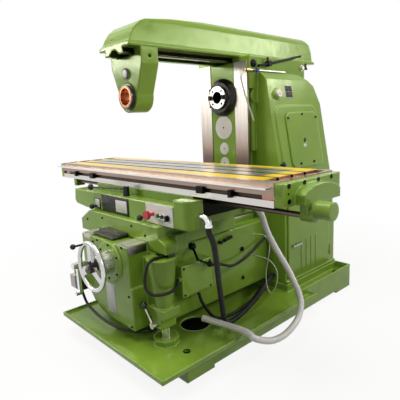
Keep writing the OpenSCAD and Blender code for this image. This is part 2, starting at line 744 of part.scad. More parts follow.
// Cross-feed handwheel with three wide spokes.
module handwheel() color(steel) difference() {
    union() {
        translate(wheel_at) rotate([-90, 0, 0]) rotate_extrude() translate([wheel_r, 0]) circle(r = 11);
        rod_y(30, wheel_at[0], [-984, -946], wheel_at[2]);
        for (turn = [90, 210, 330])
            translate(wheel_at) rotate([0, -turn, 0])
                block([20, wheel_r - 4], [-7, 7], [-17, 17]);
    }
    rod_y(12, wheel_at[0], [-far, far], wheel_at[2]);
    rod_y(5 + running, handle_at[0], [-far, wheel_at[1] + 6], handle_at[2]);
}

// Cross-feed screw with its dial drum and shaft end.
module cross_screw() color(steel) {
    rod_y(cross_screw_r, wheel_at[0], [-knee_front - 20, -232], wheel_at[2]);
    rod_y(56, wheel_at[0], [-930, -knee_front - 11], wheel_at[2]);
    rod_y(44, wheel_at[0], [-946, -930], wheel_at[2]);
    rod_y(12, wheel_at[0], [-1000, -946], wheel_at[2]);
}

// Revolving handle on the wheel's rim.
module wheel_handle() color(black) {
    rod_y(5, handle_at[0], [-1012, wheel_at[1] + 5], handle_at[2]);
    translate([handle_at[0], -1018, handle_at[2]]) sphere(r = 13);
}

// Crank that raises the knee.
module elevating_crank() color(steel) {
    rod_y(14, crank_at[0], [-928, -705], crank_at[1]);
    block([crank_at[0] - 11, crank_at[0] + 11], [-925, -910], [crank_at[1] - 150, crank_at[1]]);
    rod_y(11, crank_at[0], [-943, -910], crank_at[1] - 150);
    rod_y(18, crank_at[0], [-946, -908], crank_at[1]);
}

// Elevating screw hung in the knee.
module elevating_screw() color(steel) {
    rod_z(lift_screw_r, lift_at[0], lift_at[1], [46, 544]);
    rod_z(34, lift_at[0], lift_at[1], [502, 519]);
}

// Cranked feed lever with a ball at each end.
module feed_lever() color(black) {
    elbow = feed_at + [75, -35, -41];
    grip = feed_at + [75, 41, -84];
    ball_lever([knee_half - 38, feed_at[1], feed_at[2]], feed_at, 9, 19);
    ball_lever(feed_at, elbow, 6, 8);
    ball_lever(elbow, grip, 5.5, 15);
}

// Lever that clamps the knee on its slideways.
module knee_clamp_lever() color(black) {
    rod_x(8, [knee_half - 38, clamp_at[0] + 8], clamp_at[1], clamp_at[2]);
    bar(clamp_at, clamp_at + [0, 27, 5], 5);
    bar(clamp_at + [0, 25, 5], clamp_at + [0, 83, 14], 9);
}

// Lever and bolt that clamp the knee to the brace post.
module post_clamp_lever() color(steel) {
    rod_y(8, post_at[0], [-826, post_at[1] - post_r - 8], 212);
    rod_y(15, post_at[0], [-828, post_at[1] - 51], 212);
    ball_lever([post_at[0], -820, 212], [post_at[0] - 63, -820, 292], 5, 16);
}

// Mushroom button on the stop box.
module stop_button() color(red) {
    rod_z(8, stop_box_at[0], stop_box_at[1], [stop_box_top - 9, stop_box_top + 11]);
    rod_z(18, stop_box_at[0], stop_box_at[1], [stop_box_top + 10, stop_box_top + 23]);
}

// Saddle
// Saddle: slide on the knee, skirted apron in front and the table's dovetail guide on top.
module saddle() color(paint) difference() {
    union() {
        block([-300, 300], [-saddle_front, -saddle_back], [knee_top, upper_z]);
        slab_xz([[-432, skirt_z], [-432, 596], [-330, upper_z], [112, upper_z], [300, 600], [340, 584],
            [348, 572], [348, skirt_z], [slide_half + 8, skirt_z], [slide_half + 8, knee_top],
            [-230, knee_top], [-230, skirt_z]], [-saddle_front, -saddle_front + 70]);
        for (x = [[-432, -230], [slide_half + 8, 340]])
            block(x, [-saddle_front + 69, -615], [skirt_z, knee_top + 40]);
        for (x = [[-300, -slide_half - 8], [slide_half + 8, 300]])
            block(x, [-616, -saddle_back], [skirt_z + 10, knee_top + 1]);
        block([-saddle_half, saddle_half], [-upper_front, -saddle_back], [upper_z - 1, table_bottom]);
        slab_yz([[-table_y - 149, table_bottom - 1], [-table_y - 149, table_bottom],
            [-table_y - 149 - guide_rise + 0.6, table_bottom + guide_rise - 0.6],
            [-table_y + 149 + guide_rise - 0.6, table_bottom + guide_rise - 0.6],
            [-table_y + 149, table_bottom], [-table_y + 149, table_bottom - 1]], [-saddle_half, saddle_half]);
    }
    rod_x(feed_shaft_r + 1, [-far, far], feed_y, feed_z);
    block([-saddle_half + 60, -300 - 20], [-upper_front - 1, -saddle_back - 60], [upper_z - 2, 715]);
    block([320, saddle_half - 60], [-upper_front - 1, -saddle_back - 60], [upper_z - 2, 715]);
}

// Feed box across the saddle's front, with the pockets of its buttons and knobs.
module feed_box() color(paint) difference() {
    slab_xz([[-550, box_top], [-562, 690], [-548, 668], [-424, upper_z], [480, upper_z], [480, 782],
        [378, 782], [378, box_top]], [-feed_box_front, -upper_front]);
    difference() {
        block([435, 481], [-feed_box_front - 1, -feed_box_front + 45], [upper_z - 1, 783]);
        rod_z(45, 435, -feed_box_front + 45, [upper_z - 2, 784]);
    }
    for (button = [start_at, jog_at])
        rod_y(9 + free_gap, button[0], [-feed_box_front - 1, -feed_box_front + 14], button[1]);
    rod_y(8 + free_gap, stop_at[0], [-feed_box_front - 1, -feed_box_front + 14], stop_at[1]);
    rod_y(6 + running, selector_at[0], [-feed_box_front - 1, -feed_box_front + 14], selector_at[1]);
    for (x = [-300, 160])
        rod_y(6 + running, x, [-feed_box_front - 1, -feed_box_front + 40], 678);
    rod_z(10 + running, lever_at[0], lever_at[1], [box_top - 40, box_top + 1]);
}

// White panel of the push buttons.
module control_panel() color(white) difference() {
    block(panel_x, [-feed_box_front - panel_thick, -feed_box_front], [upper_z + 3, box_top - 2]);
    for (button = [start_at, jog_at])
        rod_y(9 + free_gap, button[0], [-far, 0], button[1]);
    rod_y(8 + free_gap, stop_at[0], [-far, 0], stop_at[1]);
    rod_y(6 + free_gap, selector_at[0], [-far, 0], selector_at[1]);
}

// Steel elbow that carries the wires out of the feed box.
module conduit_elbow() color(steel) {
    rise = elbow_end[2] + 12 + elbow_bend;
    rod_x(14, [480, elbow_end[0] - elbow_bend], elbow_end[1], rise);
    translate([elbow_end[0] - elbow_bend, elbow_end[1], elbow_end[2] + 12])
        rotate([90, 0, 0]) rotate_extrude(angle = 90) translate([elbow_bend, 0]) circle(r = 14);
    rod_z(17, elbow_end[0], elbow_end[1], [elbow_end[2], elbow_end[2] + 12]);
}

// Bronze nuts of the table's lead screw and of the cross screw.
module feed_nuts() color(bronze) difference() {
    union() {
        block([-60, 60], [-table_y - 32, -table_y + 32], [table_bottom + guide_rise - 0.6, lead_z + 16]);
        block([wheel_at[0] - 28, wheel_at[0] + 28], [-500, -440], [442, knee_top]);
    }
    rod_x(lead_screw_r + running, [-61, 61], -table_y, lead_z);
    rod_y(cross_screw_r + running, wheel_at[0], [-501, -439], wheel_at[2]);
}

// Table feed lever: black hub, slim rod and ball.
module table_lever() color(black) {
    rod_z(10, lever_at[0], lever_at[1], [box_top - 38, box_top + 8]);
    rod_z(17, lever_at[0], lever_at[1], [box_top, box_top + 50]);
    ball_lever([lever_at[0], lever_at[1], 788], [-312, -742, 784], 5, 17);
}

module push_button(at, r, proud)
    rod_y(r, at[0], [-feed_box_front - panel_thick - proud, -feed_box_front + 8], at[1]);

// Red mushroom button of the panel.
module panel_stop() color(red) {
    push_button(stop_at, 8, 34);
    rod_y(20, stop_at[0], [-feed_box_front - panel_thick - 46, -feed_box_front - panel_thick - 30], stop_at[1]);
}

// Green start button.
module panel_start() color([0.1, 0.5, 0.2])
    push_button(start_at, 9, 7);

// Black jog button.
module panel_jog() color(black)
    push_button(jog_at, 9, 7);

// Feed selector with its finger bar.
module selector() color(black) {
    rod_y(6, selector_at[0], [-feed_box_front - panel_thick - 2, -feed_box_front + 12], selector_at[1]);
    rod_y(14, selector_at[0], [-feed_box_front - panel_thick - 5, -feed_box_front - panel_thick], selector_at[1]);
    block([selector_at[0] - 4, selector_at[0] + 4],
        [-feed_box_front - panel_thick - 16, -feed_box_front - panel_thick - 4],
        [selector_at[1] - 13, selector_at[1] + 13]);
}

module pull_knob(x) {
    rod_y(6, x, [-feed_box_front - 30, -feed_box_front + 30], 678);
    translate([x, -feed_box_front - 32, 678]) sphere(r = 15);
}

// Pull knob at the left of the feed box.
module left_knob() color(black)
    pull_knob(-300);

// Pull knob beside the button panel.
module right_knob() color(black)
    pull_knob(160);

// Table
// Table with three T-slots, end troughs, a dog groove along its front and the dovetail under it.
module table() color(steel) difference() {
    block([-table_half, table_half], [table_front, table_back], [table_bottom, table_top]);
    for (slot = [-1 : 1]) {
        block([-far, far], [-table_y + slot * slot_pitch - slot_width / 2,
            -table_y + slot * slot_pitch + slot_width / 2], [table_top - 20, table_top + 1]);
        block([-far, far], [-table_y + slot * slot_pitch - 16, -table_y + slot * slot_pitch + 16],
            [table_top - 32, table_top - 19]);
    }
    both_sides()
        block([table_half - 62, table_half - 12], [table_front + 30, table_back - 30],
            [table_top - 14, table_top + 1]);
    block([-far, far], [table_front - 1, table_front + 12], [groove_z - 9, groove_z + 9]);
    slab_yz([[-table_y - 149.5, table_bottom - 1], [-table_y - 149.5, table_bottom],
        [-table_y - 149.5 - guide_rise, table_bottom + guide_rise],
        [-table_y + 149.5 + guide_rise, table_bottom + guide_rise], [-table_y + 149.5, table_bottom],
        [-table_y + 149.5, table_bottom - 1]], [-far, far]);
    block([-far, far], [-table_y - 38, -table_y + 38], [table_bottom, lead_z + 20]);
}

// End brackets of the table, the change-gear guard and the stepped cover of the feed shaft.
module table_ends() color(paint) difference() {
    union() {
        block([table_half, table_half + 35], [table_front + 2, table_back - 2], [table_bottom + 2, table_top - 5]);
        block([-table_half - 35, -table_half], [table_front + 2, table_back - 2],
            [table_bottom + 2, table_top - 5]);
        block([-table_half - 35, -table_half], [feed_y - 30, feed_y + 30], [feed_z - 30, table_bottom + 3]);
        slab_yz([[-566, 795], [-566, 832], [-545, 850], [-505, 862], [-450, 866], [-395, 862], [-345, 848],
            [-322, 830], [-322, 795]], [table_half + 34, table_half + 80]);
        block([table_half + 48, table_half + 80], [feed_y - 20, feed_y + 20], [feed_z, 800]);
        rod_x(21, [table_half + 46, table_half + 103], feed_y, feed_z);
        rod_x(34, [table_half + 102, table_half + 167], feed_y + 8, feed_z + 27);
    }
    rod_x(lead_screw_r + running, [-table_half - 26, table_half + 60], -table_y, lead_z);
    rod_x(feed_shaft_r + running, [-table_half - 21, table_half + 98], feed_y, feed_z);
}

// Trip dogs clamped in the table's front groove.
module trip_dogs() color(black)
    for (dog = [[-460, 20], [477, 20], [-666, 9], [650, 9]]) {
        block([dog[0] - dog[1], dog[0] + dog[1]], [table_front - 14, table_front], [groove_z - 15, groove_z + 15]);
        block([dog[0] - dog[1], dog[0] + dog[1]], [table_front - 1, table_front + 12],
            [groove_z - 9, groove_z + 9]);
    }

// White drip lip along the table's front.
module table_lip() color(white)
    block([-table_half - 15, table_half - 9], [table_front - 36, table_front], [table_top - 24, table_top - 18]);

// Lead screw of the table.
module lead_screw() color(steel)
    rod_x(lead_screw_r, [-table_half - 24, table_half + 58], -table_y, lead_z);

// Feed shaft below the table.
module feed_shaft() color(black)
    rod_x(feed_shaft_r, [-table_half - 20, table_half + 96], feed_y, feed_z);

// Loose lines between the moving slides and the frame
// Black corrugated conduit from the elbow down to the tray and back to the column.
module conduit() color(black) {
    path = even(smooth(conduit_route, 12), 121);
    pipe(path, [for (i = [0 : len(path) - 1]) i % 2 == 0 ? 13 : 11.5], 9, 8, [0.3, 0.2, 0.05]);
}

// Cables from the switch box back to the column.
module column_cables() color(black) {
    cord(box_cable_route, 8, 2, 8, [0.3, 0.2, 0.05]);
    cord(side_cable_route, 7, 2, 8, [1, 0, 0.2]);
}

// Clear reinforced drain hose from the saddle to the sump.
module drain_hose() color([0.75, 0.76, 0.78]) {
    path = smooth(hose_route, 3);
    pipe(path, [for (p = path) 16], 12.5, 12, [0.2, 0.9, 0.1]);
}

base();
column();
column_ways();
spindle_cover();
strip_discs();
spindle_bearings();
main_motor();
gearbox_cover();
electrics_panel();
sight_glass();
coolant_pipe();
coolant_tube();
brace_post();
elevating_nut();
spindle();
drive_keys();
spindle_gear();
motor_rotor();
overarm();
arbor_support();
arbor_bush();
overarm_lever();
coolant_valve();
cabinet_door();
door_lock();
knee();
knee_ways();
junction_box();
switch_boxes();
knee_cables();
handwheel();
cross_screw();
wheel_handle();
elevating_crank();
elevating_screw();
feed_lever();
knee_clamp_lever();
post_clamp_lever();
stop_button();
saddle();
feed_box();
control_panel();
conduit_elbow();
feed_nuts();
table_lever();
panel_stop();
panel_start();
panel_jog();
selector();
left_knob();
right_knob();
table();
table_ends();
trip_dogs();
table_lip();
lead_screw();
feed_shaft();
conduit();
column_cables();
drain_hose();
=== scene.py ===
import bmesh
import bpy
import numpy as np
from mathutils import Matrix, Vector


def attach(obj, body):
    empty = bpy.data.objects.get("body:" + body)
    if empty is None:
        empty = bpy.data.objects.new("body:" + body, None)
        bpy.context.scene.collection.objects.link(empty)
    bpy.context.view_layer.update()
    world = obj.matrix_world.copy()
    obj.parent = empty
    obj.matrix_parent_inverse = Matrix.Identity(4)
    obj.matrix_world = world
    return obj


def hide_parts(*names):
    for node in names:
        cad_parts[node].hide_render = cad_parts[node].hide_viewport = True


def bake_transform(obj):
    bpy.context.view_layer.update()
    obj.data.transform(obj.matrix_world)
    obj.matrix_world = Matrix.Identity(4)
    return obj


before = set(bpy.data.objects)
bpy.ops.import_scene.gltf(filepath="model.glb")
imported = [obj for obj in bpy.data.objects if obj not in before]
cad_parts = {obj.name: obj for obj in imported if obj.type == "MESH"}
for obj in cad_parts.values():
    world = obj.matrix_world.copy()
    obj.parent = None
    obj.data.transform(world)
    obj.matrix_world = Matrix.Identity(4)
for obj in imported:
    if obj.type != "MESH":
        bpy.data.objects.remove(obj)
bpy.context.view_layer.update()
to_right, to_back, to_front, to_top = (1, 0, 0), (0, 1, 0), (0, -1, 0), (0, 0, 1)

# Camera, floor and light
# The machine was photographed from its operator's right, a little above the table, with a normal lens.
# It stands on a plain pale floor. Soft lamps stand above it, behind its right side, in front of its left side
# and beside its right end.
eye = np.array((1.723, -1.787, 1.104))
yaw, pitch, roll = np.radians((47.69, 10.8, -2.7))
forward = np.array((-np.sin(yaw) * np.cos(pitch), np.cos(yaw) * np.cos(pitch), -np.sin(pitch)))
level = np.array((np.cos(yaw), np.sin(yaw), 0))
above = np.cross(level, forward)
right = np.cos(roll) * level + np.sin(roll) * above
up = np.cos(roll) * above - np.sin(roll) * level
lens = bpy.data.cameras.new("photo_view")
lens.lens = 36.5
lens.sensor_width = 36
camera = bpy.data.objects.new("photo_view", lens)
camera.matrix_world = Matrix((*zip(right, up, -forward, eye), (0, 0, 0, 1)))
bpy.context.scene.collection.objects.link(camera)
bpy.context.scene.camera = camera
bpy.context.scene.view_settings.view_transform = "Standard"


def add(tree, kind, sockets, **settings):
    """A shader node of that kind, with its settings, and each socket linked or set."""
    made = tree.nodes.new("ShaderNode" + kind)
    for key, value in settings.items():
        setattr(made, key, value)
    for key, value in sockets.items():
        if isinstance(value, bpy.types.NodeSocket):
            tree.links.new(value, made.inputs[key])
        else:
            made.inputs[key].default_value = value
    return made


def calc(tree, operation, *values):
    """The result of a sum on up to three values."""
    return add(tree, "Math", dict(enumerate(values)), operation=operation).outputs[0]


def spread(tree, value, first, last, low=0.0, high=1.0):
    """The value's range from first to last, spread over low to high and held there beyond it."""
    return add(tree, "MapRange", {"Value": value, "From Min": first, "From Max": last, "To Min": low,
                                  "To Max": high}).outputs["Result"]


def place_of(tree):
    return add(tree, "TexCoord", {}).outputs["Object"]


def parts_of(tree, place):
    """The X, Y and Z of a place."""
    return add(tree, "SeparateXYZ", {"Vector": place}).outputs


def tinted(tree, share, first, second):
    """A colour between first and second."""
    mix = add(tree, "Mix", {"Factor": share}, data_type="RGBA")
    for socket, colour in ((mix.inputs[6], first), (mix.inputs[7], second)):
        if isinstance(colour, bpy.types.NodeSocket):
            tree.links.new(colour, socket)
        else:
            socket.default_value = (*colour, 1)
    return mix.outputs[2]


def seen_directly(tree):
    """1 for rays from the camera, from gloss and through glass, and 0 for light that falls on the machine."""
    rays = add(tree, "LightPath", {}).outputs
    gloss = calc(tree, "MAXIMUM", rays["Is Camera Ray"], rays["Is Glossy Ray"])
    return calc(tree, "MAXIMUM", gloss, rays["Is Transmission Ray"])


def soft_lamp(name, at, aim, wide, high, power):
    """A warm lamp of that width, height and power that looks from at to aim and is itself not seen."""
    data = bpy.data.lights.new(name, "AREA")
    data.shape = "RECTANGLE"
    data.size = wide
    data.size_y = high
    data.energy = power
    data.color = (1.0, 0.95, 0.86)
    lamp = bpy.data.objects.new(name, data)
    lamp.location = at
    lamp.rotation_euler = (Vector(aim) - Vector(at)).to_track_quat("-Z", "Y").to_euler()
    lamp.visible_camera = False
    bpy.context.scene.collection.objects.link(lamp)


soft_lamp("top_lamp", (0.0, -1.0, 4.3), (0, -0.3, 0.8), wide=2.6, high=2.6, power=120)
soft_lamp("right_lamp", (3.2, 2.6, 2.7), (0, 0, 1.5), wide=3.0, high=0.7, power=85)
soft_lamp("front_lamp", (-3.2, -3.0, 2.4), (0, -0.4, 1.2), wide=2.0, high=1.0, power=92)
soft_lamp("side_lamp", (3.6, -1.4, 2.4), (0.4, -0.3, 1.0), wide=1.2, high=1.2, power=20)

white = (1, 1, 1, 1)
world = bpy.data.worlds.new("studio")
world.use_nodes = True
bpy.context.scene.world = world
sky_tree = world.node_tree
sky_tree.nodes.clear()
sky_light = add(sky_tree, "Background", {"Color": white, "Strength": 0.07}).outputs[0]
sky_seen = add(sky_tree, "Background", {"Color": white, "Strength": 1.0}).outputs[0]
sky = add(sky_tree, "MixShader", {0: seen_directly(sky_tree), 1: sky_light, 2: sky_seen})
add(sky_tree, "OutputWorld", {"Surface": sky.outputs[0]})

floor_half = 9
floor_corners = [(x * floor_half, y * floor_half, 0) for x, y in ((-1, -1), (1, -1), (1, 1), (-1, 1))]
floor_mesh = bpy.data.meshes.new("floor")
floor_mesh.from_pydata(floor_corners, [], [(0, 1, 2, 3)])
floor = bpy.data.objects.new("floor", floor_mesh)
bpy.context.scene.collection.objects.link(floor)
floor_paint = bpy.data.materials.new("floor_paint")
floor_paint.use_nodes = True
floor_tree = floor_paint.node_tree
floor_tree.nodes.clear()
floor_seen = seen_directly(floor_tree)
floor_grey = tinted(floor_tree, floor_seen, (0.30, 0.30, 0.30), (0.95, 0.95, 0.95))
floor_matt = add(floor_tree, "BsdfDiffuse", {"Color": floor_grey}).outputs[0]
floor_white = add(floor_tree, "Emission", {"Color": white, "Strength": 1.0}).outputs[0]
floor_reach = add(floor_tree, "VectorMath", {0: place_of(floor_tree)}, operation="LENGTH").outputs["Value"]
floor_fade = spread(floor_tree, floor_reach, 1.0, 2.6, 0.88, 1.0)
floor_share = calc(floor_tree, "MULTIPLY", floor_seen, floor_fade)
floor_mix = add(floor_tree, "MixShader", {0: floor_share, 1: floor_matt, 2: floor_white})
add(floor_tree, "OutputMaterial", {"Surface": floor_mix.outputs[0]})
floor_mesh.materials.append(floor_paint)


# Hoses and cables
# A ribbed black conduit carries the wires from the feed box to the column, a pale wound hose drains the
# saddle into the sump, and black rubber cables join the switches. Each hangs from its gland, and the long
# ones sag to just above the tray.
def metres(points):
    return np.array(points, float) / 1000


def rounded(route, steps):
    """A curve through the route's points, in metres: each stretch is the cubic that leaves a point along the
    line between its two neighbours."""
    points = metres(route)
    last = len(points) - 1
    k = np.arange(last)
    a, b, c, d = points[np.maximum(k - 1, 0)], points[k], points[k + 1], points[np.minimum(k + 2, last)]
    t = (np.arange(steps) / steps)[None, :, None]
    a, b, c, d = (p[:, None, :] for p in (a, b, c, d))
    curve = 0.5 * (2 * b + (c - a) * t + (2 * a - 5 * b + 4 * c - d) * t**2 + (3 * b - a - 3 * c + d) * t**3)
    return np.vstack((curve.reshape(-1, 3), points[-1:]))


def spaced(path, count):
    """The same path with that many points at equal distances."""
    gone = np.r_[0, np.cumsum(np.linalg.norm(np.diff(path, axis=0), axis=1))]
    at = np.linspace(0, gone[-1], count)
    return np.stack([np.interp(at, gone, path[:, axis]) for axis in range(3)], axis=1)


def rings_along(path, radii, sides, side_on):
    """Rings round a path: path + radius * (cos a * u + sin a * v), with u and v square to the path."""
    heading = np.gradient(path, axis=0)
    heading /= np.linalg.norm(heading, axis=1, keepdims=True)
    u = np.cross(heading, np.array(side_on, float))
    u /= np.linalg.norm(u, axis=1, keepdims=True)
    v = np.cross(heading, u)
    turn = 2 * np.pi * np.arange(sides) / sides
    radii = np.broadcast_to(radii, len(path))[:, None, None]
    ring = np.cos(turn)[None, :, None] * u[:, None, :] + np.sin(turn)[None, :, None] * v[:, None, :]
    return path[:, None, :] + radii * ring


def skin(name, finish, grids, body, sharp=40, ends=True):
    """One mesh over grids of points. A grid's rows are rings, closed round. With ends, its first and last
    ring are capped. The UV map runs once along the rows and once round a ring. A piece whose body is None is
    attached to no body."""
    points, faces, corners = [], [], []
    start = 0
    for grid in grids:
        rows, cols = grid.shape[:2]
        i, j = np.meshgrid(np.arange(rows - 1), np.arange(cols), indexing="ij")
        place = np.stack((np.stack((i, j), -1), np.stack((i, j + 1), -1), np.stack((i + 1, j + 1), -1),
                          np.stack((i + 1, j), -1)), axis=2)
        faces += (start + place[..., 0] * cols + place[..., 1] % cols).reshape(-1, 4).tolist()
        corners.append((place / np.array((max(rows - 1, 1), cols))).reshape(-1, 2))
        if ends:
            faces += [list(range(start + cols - 1, start - 1, -1))]
            faces += [list(range(start + (rows - 1) * cols, start + rows * cols))]
            corners.append(np.zeros((2 * cols, 2)))
        points.append(grid.reshape(-1, 3))
        start += rows * cols
    mesh = bpy.data.meshes.new(name)
    mesh.from_pydata(np.vstack(points).tolist(), [], faces)
    mesh.uv_layers.new(name="run").data.foreach_set("uv", np.vstack(corners).astype(np.float32).ravel())
    shell = bmesh.new()
    shell.from_mesh(mesh)
    bmesh.ops.recalc_face_normals(shell, faces=shell.faces)
    shell.to_mesh(mesh)
    shell.free()
    mesh.polygons.foreach_set("use_smooth", np.ones(len(mesh.polygons), bool))
    mesh.set_sharp_from_angle(angle=np.radians(sharp))
    mesh.materials.append(finish)
    piece = bpy.data.objects.new(name, mesh)
    bpy.context.scene.collection.objects.link(piece)
    if body is not None:
        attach(piece, body)
    return piece


def finish_of(name, **sockets):
    """A new material with values set on its shader's own sockets, its node tree, its shader and its place."""
    made = bpy.data.materials.new(name)
    made.use_nodes = True
    shader = made.node_tree.nodes["Principled BSDF"]
    for key, value in sockets.items():
        shader.inputs[key.replace("_", " ")].default_value = value
    return made, made.node_tree, shader, place_of(made.node_tree)


def opened(made):
    """A finished material's node tree, its shader, its place and the colour that it has so far."""
    shader = made.node_tree.nodes["Principled BSDF"]
    colour = shader.inputs["Base Color"].links[0].from_socket
    return made.node_tree, shader, place_of(made.node_tree), colour


def feed(tree, shader, **sockets):
    """Links values to the shader's own sockets."""
    for key, value in sockets.items():
        tree.links.new(value, shader.inputs[key.replace("_", " ")])


def speckle(tree, place, scale, low=0.0, high=1.0, detail=4.0):
    """Noise of that scale, with its middle range spread from low to high."""
    noise = add(tree, "TexNoise", {"Vector": place, "Scale": scale, "Detail": detail})
    return spread(tree, noise.outputs["Fac"], 0.3, 0.7, low, high)


def patchy(tree, place, scale, dark, pale):
    """A colour that wanders between dark and pale."""
    return tinted(tree, speckle(tree, place, scale), dark, pale)


def bumped(tree, shader, height, strength, depth, under=None):
    """Bump of that height in metres on the shader's normal."""
    sockets = {"Height": height, "Strength": strength, "Distance": depth}
    if under is not None:
        sockets["Normal"] = under
    bump = add(tree, "Bump", sockets)
    feed(tree, shader, Normal=bump.outputs["Normal"])
    return bump.outputs["Normal"]


def rubber(name, dark, pale, rough, shine=0.5):
    """Rubber, plastic or paint: dusty patches over a darker ground, with a fine grain."""
    made, tree, shader, place = finish_of(name, Specular_IOR_Level=shine)
    feed(tree, shader, Base_Color=patchy(tree, place, 14, dark, pale),
         Roughness=speckle(tree, place, 60, rough - 0.1, rough + 0.1))
    bumped(tree, shader, speckle(tree, place, 900), strength=0.3, depth=0.0004)
    return made


cord_sharp = 60
black_rubber = rubber("black_rubber", (0.006, 0.006, 0.006), (0.016, 0.016, 0.015), rough=0.45, shine=0.2)
conduit_rubber = rubber("conduit_rubber", (0.006, 0.006, 0.006), (0.018, 0.018, 0.018), rough=0.5, shine=0.25)

conduit_route = [(534, -664, 674), (534, -664, 662), (534, -664, 650), (536, -650, 622), (532, -633, 580),
                 (520, -611, 499), (498, -579, 384), (464, -534, 280), (428, -484, 158), (424, -445, 126),
                 (418, -395, 122), (406, -320, 128), (380, -180, 150), (335, -40, 176), (300, 55, 186),
                 (300, 68, 186), (300, 80, 186)]
points_per_rib = 8
rib_count, ribs_in_top = 160, 60
conduit_path = spaced(rounded(conduit_route, steps=40), count=rib_count * points_per_rib + 1)
conduit_ribs = 0.0122 + 0.0008 * np.cos(2 * np.pi * np.arange(len(conduit_path)) / points_per_rib)
conduit_rings = rings_along(conduit_path, conduit_ribs, sides=20, side_on=(0.3, 0.2, 0.05))
conduit_joint = ribs_in_top * points_per_rib
conduit_top = conduit_path[:conduit_joint + 1]
conduit_foot = conduit_path[conduit_joint:]
conduit = skin("ribbed_conduit", conduit_rubber, [conduit_rings[:conduit_joint + 1]], None,
               cord_sharp)
conduit_rest = skin("ribbed_conduit_foot", conduit_rubber, [conduit_rings[conduit_joint:]], None,
                    cord_sharp)
for piece, path in ((conduit, conduit_top), (conduit_rest, conduit_foot)):
    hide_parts("conduit")

hose_coils = 190.0
hose_plastic, hose_tree, hose_shader, hose_place = finish_of("hose_plastic", Roughness=0.22, Coat_Weight=0.6)
hose_run = parts_of(hose_tree, add(hose_tree, "TexCoord", {}).outputs["UV"])
hose_turns = calc(hose_tree, "MULTIPLY_ADD", hose_run["X"], hose_coils, hose_run["Y"])
hose_wave = calc(hose_tree, "SINE", calc(hose_tree, "MULTIPLY", hose_turns, 2 * np.pi))
hose_tint = patchy(hose_tree, hose_place, 12, (0.88, 0.88, 0.88), (0.97, 0.97, 0.97))
hose_wire = spread(hose_tree, hose_wave, 0.2, 0.9)
feed(hose_tree, hose_shader, Base_Color=tinted(hose_tree, hose_wire, hose_tint, (0.70, 0.71, 0.72)))
bumped(hose_tree, hose_shader, hose_wave, strength=0.5, depth=0.001)

hose_route = [(420, -290, 700), (434, -290, 700), (448, -290, 700), (466, -278, 684), (480, -252, 645),
              (490, -224, 560), (505, -194, 488), (522, -160, 417), (545, -127, 344), (572, -107, 270),
              (592, -94, 210), (612, -106, 164), (630, -150, 118), (645, -226, 94), (650, -314, 82),
              (640, -398, 88), (620, -482, 126), (590, -490, 142), (540, -497, 148), (430, -520, 150),
              (345, -552, 160)]
hose_path = spaced(rounded(hose_route, steps=24), count=460)
hose_back = (hose_path[-2] - hose_path[-1]) / np.linalg.norm(hose_path[-2] - hose_path[-1])
hose_mouth = np.array([hose_path[-1] + hose_back * reach for reach in (0.0001, 0.03)])
hose_rings = np.concatenate([rings_along(path, radius, sides=24, side_on=(0.2, 0.9, 0.1))
                             for path, radius in ((hose_path, 0.016), (hose_mouth, 0.0125))])
hose = skin("drain_hose_wound", hose_plastic, [hose_rings], None, cord_sharp)
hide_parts("drain_hose")


def cable(name, route, radius, side_on, body, node, finish):
    """A smooth round cable along a route."""
    path = spaced(rounded(route, steps=16), count=24 * len(route))
    piece = skin(name, finish, [rings_along(path, radius, sides=16, side_on=side_on)], body, cord_sharp)
    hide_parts(node)
    return piece


box_route = [(310, -540, 298), (310, -540, 289), (310, -540, 280), (316, -516, 210), (336, -462, 130),
             (362, -390, 118), (362, -230, 130), (310, -50, 154), (268, 56, 160), (268, 68, 160),
             (268, 80, 160)]
box_cable = cable("box_cable", box_route, 0.008, (0.3, 0.2, 0.05), None, "column_cables",
                  black_rubber)
side_route = [(300, -471, 395), (300, -463, 395), (300, -455, 395), (316, -390, 386), (312, -284, 350),
              (302, -157, 366), (292, -13, 418), (284, 58, 440), (284, 69, 440), (284, 80, 440)]
side_cable = cable("side_cable", side_route, 0.007, (1, 0, 0.2), None, "column_cables",
                   black_rubber)
stop_route = [(-262, -875, 255), (-262, -875, 243), (-258, -876, 225), (-200, -880, 176), (-65, -885, 152),
              (35, -882, 148), (110, -872, 148), (180, -845, 147), (222, -806, 146), (234, -775, 147),
              (236, -748, 155), (236, -735, 174)]
cable("stop_cable", stop_route, 0.007, (0, 0.3, 1), "knee", "knee_cables", black_rubber)
loop_route = [(322, -738, 526), (322, -775, 526), (322, -812, 525), (322, -838, 505), (316, -852, 450),
              (322, -854, 404), (348, -838, 378), (374, -790, 374), (378, -745, 378), (362, -712, 384),
              (338, -692, 389), (327, -681, 390), (326, -674, 390)]
cable("loop_cable", loop_route, 0.007, (1, 0.2, 0), "knee", "knee_cables", black_rubber)
tube_plastic = rubber("tube_plastic", (0.72, 0.72, 0.70), (0.85, 0.85, 0.83), rough=0.3)
oil_route = [(270, -70, 470), (282, -70, 470), (294, -70, 470), (360, -85, 480), (405, -98, 455),
             (411, -100, 420), (396, -100, 336), (384, -100, 271), (388, -100, 200), (413, -100, 162),
             (445, -100, 198), (461, -100, 264), (452, -100, 310), (417, -100, 345), (380, -100, 355),
             (348, -100, 356), (294, -100, 356), (282, -100, 356), (270, -100, 356)]
cable("oil_line", oil_route, 0.0025, (0, 1, 0), "knee", "knee_cables", tube_plastic)
tube_route = [(214, -46, 1366), (214, -66, 1352), (214, -72, 1325), (214, -38, 1233), (214, 8, 1140),
              (214, 26, 1101)]
cable("coolant_tube_bent", tube_route, 0.0045, (1, 0, 0), "frame", "coolant_tube", tube_plastic)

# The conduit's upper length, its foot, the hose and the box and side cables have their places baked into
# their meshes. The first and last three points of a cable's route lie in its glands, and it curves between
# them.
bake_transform(conduit)
